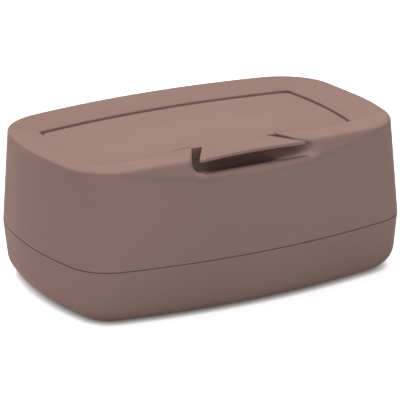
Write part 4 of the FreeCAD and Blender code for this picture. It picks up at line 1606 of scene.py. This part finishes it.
class Lid:
    """Flap with its flared lifting tab, the ribs and seal under it and its hinge bosses."""

    def __init__(self, sizes: LidSizes, columns: Columns) -> None:
        """Keeps the sizes and the columns."""
        self.sizes = sizes
        self.columns = columns

    def _share(self, plan: Array) -> Array:
        """Share of the tab's length at which points of the plan lie."""
        s = self.sizes
        return np.clip((-plan[:, 1] - s.neck_reach) / (s.front_reach - s.neck_reach), 0, None)

    def top(self, plan: Array) -> Array:
        """Level of the top face.

        Args:
            plan: Array of X and Y.

        Returns:
            One level for each point.
        """
        s, share = self.sizes, self._share(plan)
        across, reach = np.abs(plan[:, 0]), -plan[:, 1]
        half = s.neck_half + (s.front_half - s.neck_half) * share
        arch = s.neck_arch + (s.front_arch - s.neck_arch) * share
        bow = arch * np.clip(1 - (across / half) ** 2, 0, 1)
        fade = 1 - smooth_step(
            across, half + s.fade_start, np.maximum(s.fade_least, half + s.fade_end)
        )
        rise = s.swell * smooth_step(reach, *s.swell_reaches)
        return LID_TOP + rise * fade + bow * smooth_step(reach, *s.arch_reaches)

    def under(self, plan: Array) -> Array:
        """Level of the underside, which stays flat over the ribs.

        Args:
            plan: Array of X and Y.

        Returns:
            One level for each point.
        """
        s, share = self.sizes, self._share(plan)
        deep = s.tab_thickness + (s.tip_thickness - s.tab_thickness) * share
        blend = smooth_step(-plan[:, 1], *s.tab_reaches)
        return (1 - blend) * LID_UNDER + blend * (self.top(plan) - deep)

    def _corner(self, before: Array, at: Array, after: Array, setback: float) -> Array:
        """Rounds one corner of the plan.

        Args:
            before: A point on the side that comes in.
            at: The corner.
            after: A point on the side that goes out.
            setback: Length cut from each side.

        Returns:
            Points of the rounding.
        """
        start, end = (
            at + (point - at) * setback / np.linalg.norm(point - at) for point in (before, after)
        )
        return bent(start, at, end, np.linspace(0, 1, 9)[:, None])

    def plan(self) -> Array:
        """Outline of plate and tab together, anticlockwise."""
        s = self.sizes
        ring = s.plate.ring(self.columns)
        centre_y = s.plate.front_radius - s.plate.front
        plate_y = centre_y - math.sqrt(s.plate.front_radius**2 - s.shoulder_half**2)
        left = np.array([
            (-s.shoulder_half - 4, plate_y), (-s.shoulder_half, plate_y),
            (-s.shoulder_half, -s.neck_reach), (-s.neck_half, -s.neck_reach),
            (-s.front_half, -s.front_reach), (0, -s.front_reach),
        ])
        inner, outer, root, tip = (
            self._corner(*left[i:i + 3], setback) for i, setback in enumerate(s.setbacks)
        )
        side, front = np.linspace(0.09, 0.88, 13)[:, None], np.linspace(0.1, 0.98, 19)[:, None]
        half = np.concatenate([
            inner, outer, root, left[3] + (left[4] - left[3]) * side,
            tip, left[4] + (left[5] - left[4]) * front,
        ])
        other = half[::-1] * (-1, 1)
        near = (ring[:, 1] < 0) & (np.abs(ring[:, 0]) < s.shoulder_half + 1.0)
        first, last = np.flatnonzero(near)[[0, -1]]
        return np.concatenate([ring[:first], half, other, ring[last + 1:]])

    def build(self) -> Thing:
        """Builds plate and tab as one piece."""
        s, loop, skin = self.sizes, self.plan(), Skin()
        run = np.roll(loop, -1, axis=0) - np.roll(loop, 1, axis=0)
        inward = np.c_[-run[:, 1], run[:, 0]] / np.linalg.norm(run, axis=1)[:, None]
        # Down round the upper edge, and on round the lower one.
        inset, low = loop + inward * s.edge, s.under_edge
        top, under = self.top(inset), self.under(inset)
        rows = [
            np.c_[loop + inward * s.edge * (1 - math.cos(a)), top - s.edge * (1 - math.sin(a))]
            for a in np.linspace(math.pi / 2, 0, 6)
        ] + [
            np.c_[loop + inward * low * (1 - math.cos(a)), under + low * (1 - math.sin(a))]
            for a in np.linspace(0, math.pi / 2, 5)
        ]
        skin.stack(rows)
        grid = np.array(list(product(np.arange(-90, 90.1, 2.5), np.arange(-68.1, 52, 1.9))))
        for border, level in ((rows[0], self.top), (rows[-1], self.under)):
            edge = border[:, :2]
            flat = grid[inside(grid, edge) & (clearance(grid, edge) > 0.9)]
            skin.patch(edge, border, extra=(flat, np.c_[flat, level(flat)]))
        return skin.make("lid_flap")

    def _boss(self, name: str, side: int) -> Thing:
        """Block round a hinge pin, under the plate."""
        s, skin = self.sizes, Skin()
        levels = ((0.0, s.boss_top), (0.0, s.boss_low + 0.4), (-0.12, s.boss_low + 0.12),
                  (-0.4, s.boss_low))
        skin.stack([
            at_level(s.boss.grown(grow).ring(6, 2, 6) + (side * s.boss_x, 0), level)
            for grow, level in levels
        ], capped=True)
        return skin.make(name)

    def dress(self, finishes: Finishes, rings: SweptRing) -> None:
        """Builds the lid and all that it carries, and gives each its finish."""
        s, shell = self.sizes, finishes.shell
        place(self.build(), shell, Body.LID, ["lid"])
        for name, sizes in (("plug_rib", s.plug_rib), ("outer_rib", s.outer_rib)):
            place(rings.make(name, s.opening, sizes, shell), shell, Body.LID)
        seal = rings.make("seal_ring", s.opening, s.seal, finishes.seal)
        place(seal, finishes.seal, Body.LID, ["lid_seal"])
        for name, side in (("hinge_boss_left", -1), ("hinge_boss_right", 1)):
            place(self._boss(name, side), shell, Body.LID)


# ---------------------------------------------------------------- carried nodes


class Fittings:
    """Pins, press plate, its cover and its weights, whose solids are shown as they are."""

    def __init__(self, nodes: dict[str, Thing]) -> None:
        """Keeps the frame's nodes."""
        self.nodes = nodes

    def dress(self, finishes: Finishes) -> None:
        """Gives each carried node its finish."""
        for material, names in (
            (finishes.pin, ("hinge_pin_left", "hinge_pin_right")),
            (finishes.inner, ("press_plate", "press_plate_cover")),
            (finishes.weight, ("press_weight_left", "press_weight_right")),
        ):
            for name in names:
                dress(self.nodes[name], material)
                LOG.info("%s: finish %s", name, material.name)


# ---------------------------------------------------------------- studio


@dataclass(frozen=True)
class Camera:
    """Camera fitted to the photograph's edges. Angles in degrees, lengths in millimetres."""

    azimuth: float = -28.586
    elevation: float = 18.781
    roll: float = -0.5452
    distance: float = 1790.955
    target: float = 45.0
    focal_pixels: float = 2888.07
    centre_pixels: tuple[float, float] = (200.59, 199.66)
    frame_pixels: float = 400.0

    def place(self) -> None:
        """Makes the camera and sets it as the scene's."""
        data = bpy.data.cameras.new("view")
        data.sensor_fit = "HORIZONTAL"
        data.sensor_width = 36.0
        data.lens = 36.0 * self.focal_pixels / self.frame_pixels
        data.shift_x = (self.frame_pixels / 2 - self.centre_pixels[0]) / self.frame_pixels
        data.shift_y = (self.centre_pixels[1] - self.frame_pixels / 2) / self.frame_pixels
        data.clip_start, data.clip_end = 0.05, 20.0
        turn, tilt = math.radians(self.azimuth), math.radians(self.elevation)
        back = Vector((
            math.sin(turn) * math.cos(tilt), -math.cos(turn) * math.cos(tilt), math.sin(tilt),
        ))
        right = (-back).cross(Vector((0, 0, 1))).normalized()
        up = right.cross(-back)
        roll = math.radians(self.roll)
        right, up = (
            right * math.cos(roll) + up * math.sin(roll),
            up * math.cos(roll) - right * math.sin(roll),
        )
        item = linked("view", data)
        spot = Vector((0, 0, self.target)) + back * self.distance
        pose = Matrix((right, up, back)).transposed().to_4x4()
        pose.translation = spot * METRES
        item.matrix_world = pose
        bpy.context.scene.camera = item


@dataclass(frozen=True)
class SoftBox:
    """Square area lamp that looks at the object. Places in metres, power in watts."""

    name: str
    spot: tuple[float, float, float]
    size: float
    power: float
    colour: tuple[float, float, float]

    def place(self) -> None:
        """Makes the lamp."""
        data = bpy.data.lights.new(self.name, "AREA")
        data.shape = "SQUARE"
        data.size = self.size
        data.energy = self.power
        data.color = self.colour
        item = linked(self.name, data)
        item.location = self.spot
        aim = Vector((0.0, 0.0, 0.05)) - Vector(self.spot)
        item.rotation_euler = aim.to_track_quat("-Z", "Y").to_euler()


@dataclass(frozen=True)
class Studio:
    """Pale floor, white surroundings and soft lamps.

    The floor's size is in millimetres. The reach of its painted contact shadow, contact, is in
    metres. The sky's light is sky - x * (sky_fall * x + sky_lean) in the direction x.
    """

    floor_size: float = 12000.0
    floor_glow: float = 0.72
    floor_white: float = 0.94
    floor_grey: float = 0.88
    contact: float = 0.0045
    sky: float = 0.555
    sky_fall: float = 0.42
    sky_lean: float = 0.16
    lamps: tuple[SoftBox, ...] = (
        SoftBox("back_above", (-0.05, 1.0, 1.68), 0.7, 20.7, (1.0, 0.96, 0.94)),
        SoftBox("front_fill", (0.4, -2.0, 0.55), 0.8, 2.0, (0.95, 1.0, 1.0)),
    )

    def _seen(self, tree: NodeTree) -> Socket:
        """1 where a ray comes from the camera, a mirror or glass, else 0."""
        path = tree.node("ShaderNodeLightPath").outputs
        mirrored = tree.math("MAXIMUM", path["Is Camera Ray"], path["Is Glossy Ray"])
        return tree.math("MAXIMUM", mirrored, path["Is Transmission Ray"])

    def _mix(self, tree: NodeTree, lit: Socket, shown: Socket, end: str) -> None:
        """Ends a tree with one shader for the light it gives and one for what is seen."""
        mix = tree.node("ShaderNodeMixShader", {0: self._seen(tree), 1: lit, 2: shown})
        tree.node(end, {"Surface": mix.outputs[0]})

    def _floor(self) -> Thing:
        """Floor, white to the eye with a painted contact shadow, grey to the light it sends back.
        """
        material = bpy.data.materials.new("floor_paper")
        material.use_nodes = True
        tree = NodeTree(material.node_tree)
        tree.tree.nodes.clear()
        grey, white = (
            tree.node("ShaderNodeBsdfDiffuse", {"Color": (value, value, value, 1)}).outputs[0]
            for value in (self.floor_grey, self.floor_white)
        )
        # Ambient occlusion dims the floor's glow near the object: a painted contact shadow.
        near = tree.node("ShaderNodeAmbientOcclusion", {"Distance": self.contact})
        strength = tree.math("MULTIPLY", near.outputs["AO"], self.floor_glow)
        glow = tree.node("ShaderNodeEmission", {"Strength": strength}).outputs[0]
        both = tree.node("ShaderNodeAddShader", {0: white, 1: glow}).outputs[0]
        self._mix(tree, grey, both, "ShaderNodeOutputMaterial")
        half = self.floor_size / 2
        item = mesh_object(
            "floor", [(-half, -half, 0), (half, -half, 0), (half, half, 0), (-half, half, 0)],
            faces=[(0, 1, 2, 3)],
        )
        dress(item, material)
        return item

    def _sky(self) -> None:
        """World that is white to the eye and gives less light from the sides."""
        world = bpy.data.worlds.new("studio")
        bpy.context.scene.world = world
        world.use_nodes = True
        tree = NodeTree(world.node_tree)
        tree.tree.nodes.clear()
        space = tree.node("ShaderNodeTexCoord").outputs["Generated"]
        x = tree.node("ShaderNodeSeparateXYZ", {0: space}).outputs["X"]
        fall = tree.math("MULTIPLY_ADD", x, -self.sky_fall, -self.sky_lean)
        level = tree.math("MULTIPLY_ADD", fall, x, self.sky)
        soft, seen = (
            tree.node("ShaderNodeBackground", {"Color": (1, 1, 1, 1), "Strength": value})
            for value in (level, 1.0)
        )
        self._mix(tree, soft.outputs[0], seen.outputs[0], "ShaderNodeOutputWorld")

    def build(self) -> None:
        """Makes floor, sky and lamps."""
        self._floor()
        self._sky()
        for lamp in self.lamps:
            lamp.place()
        bpy.context.scene.view_settings.view_transform = "Standard"


# ---------------------------------------------------------------- making


def shared_columns(recess: Outline) -> Columns:
    """Columns of the shells, with two that meet the trough's front edge.

    Args:
        recess: Outline of the lid's recess.

    Returns:
        The columns.
    """
    shares = [np.linspace(0, 1, count, endpoint=False) for count in ARC_STEPS]
    _, _, radius, low, high = recess.arcs()[0]
    angle = math.asin((TROUGH_FRONT - recess.middle) / radius)
    cut = (angle - low) / (high - low)

    def with_cut(values: Array, at: float) -> tuple[Array, int]:
        """Moves the share nearest to a place onto it."""
        number = int(np.argmin(np.abs(values - at)))
        values = values.copy()
        values[number] = at
        return values, number

    shares[0], right = with_cut(shares[0], cut)
    shares[4], left = with_cut(shares[4], 1 - cut)
    return Columns(tuple(shares), right, sum(ARC_STEPS[:4]) + left)


def main() -> None:
    """Builds, dresses and places every piece in order."""
    logging.basicConfig(level=logging.INFO, format="%(name)s %(message)s")
    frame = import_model()
    Camera().place()
    Studio().build()
    finishes = Finishes.made()
    rings, copies = SweptRing(), Copies()
    housing = HousingSizes()
    columns = shared_columns(housing.recess)
    BaseTray(TraySizes(), columns).dress(finishes, copies)
    UpperHousing(housing, Scoop(), columns).dress(finishes, rings)
    Lid(LidSizes(), columns).dress(finishes, rings)
    Fittings(frame["nodes"]).dress(finishes)


if __name__ == "__main__":
    main()
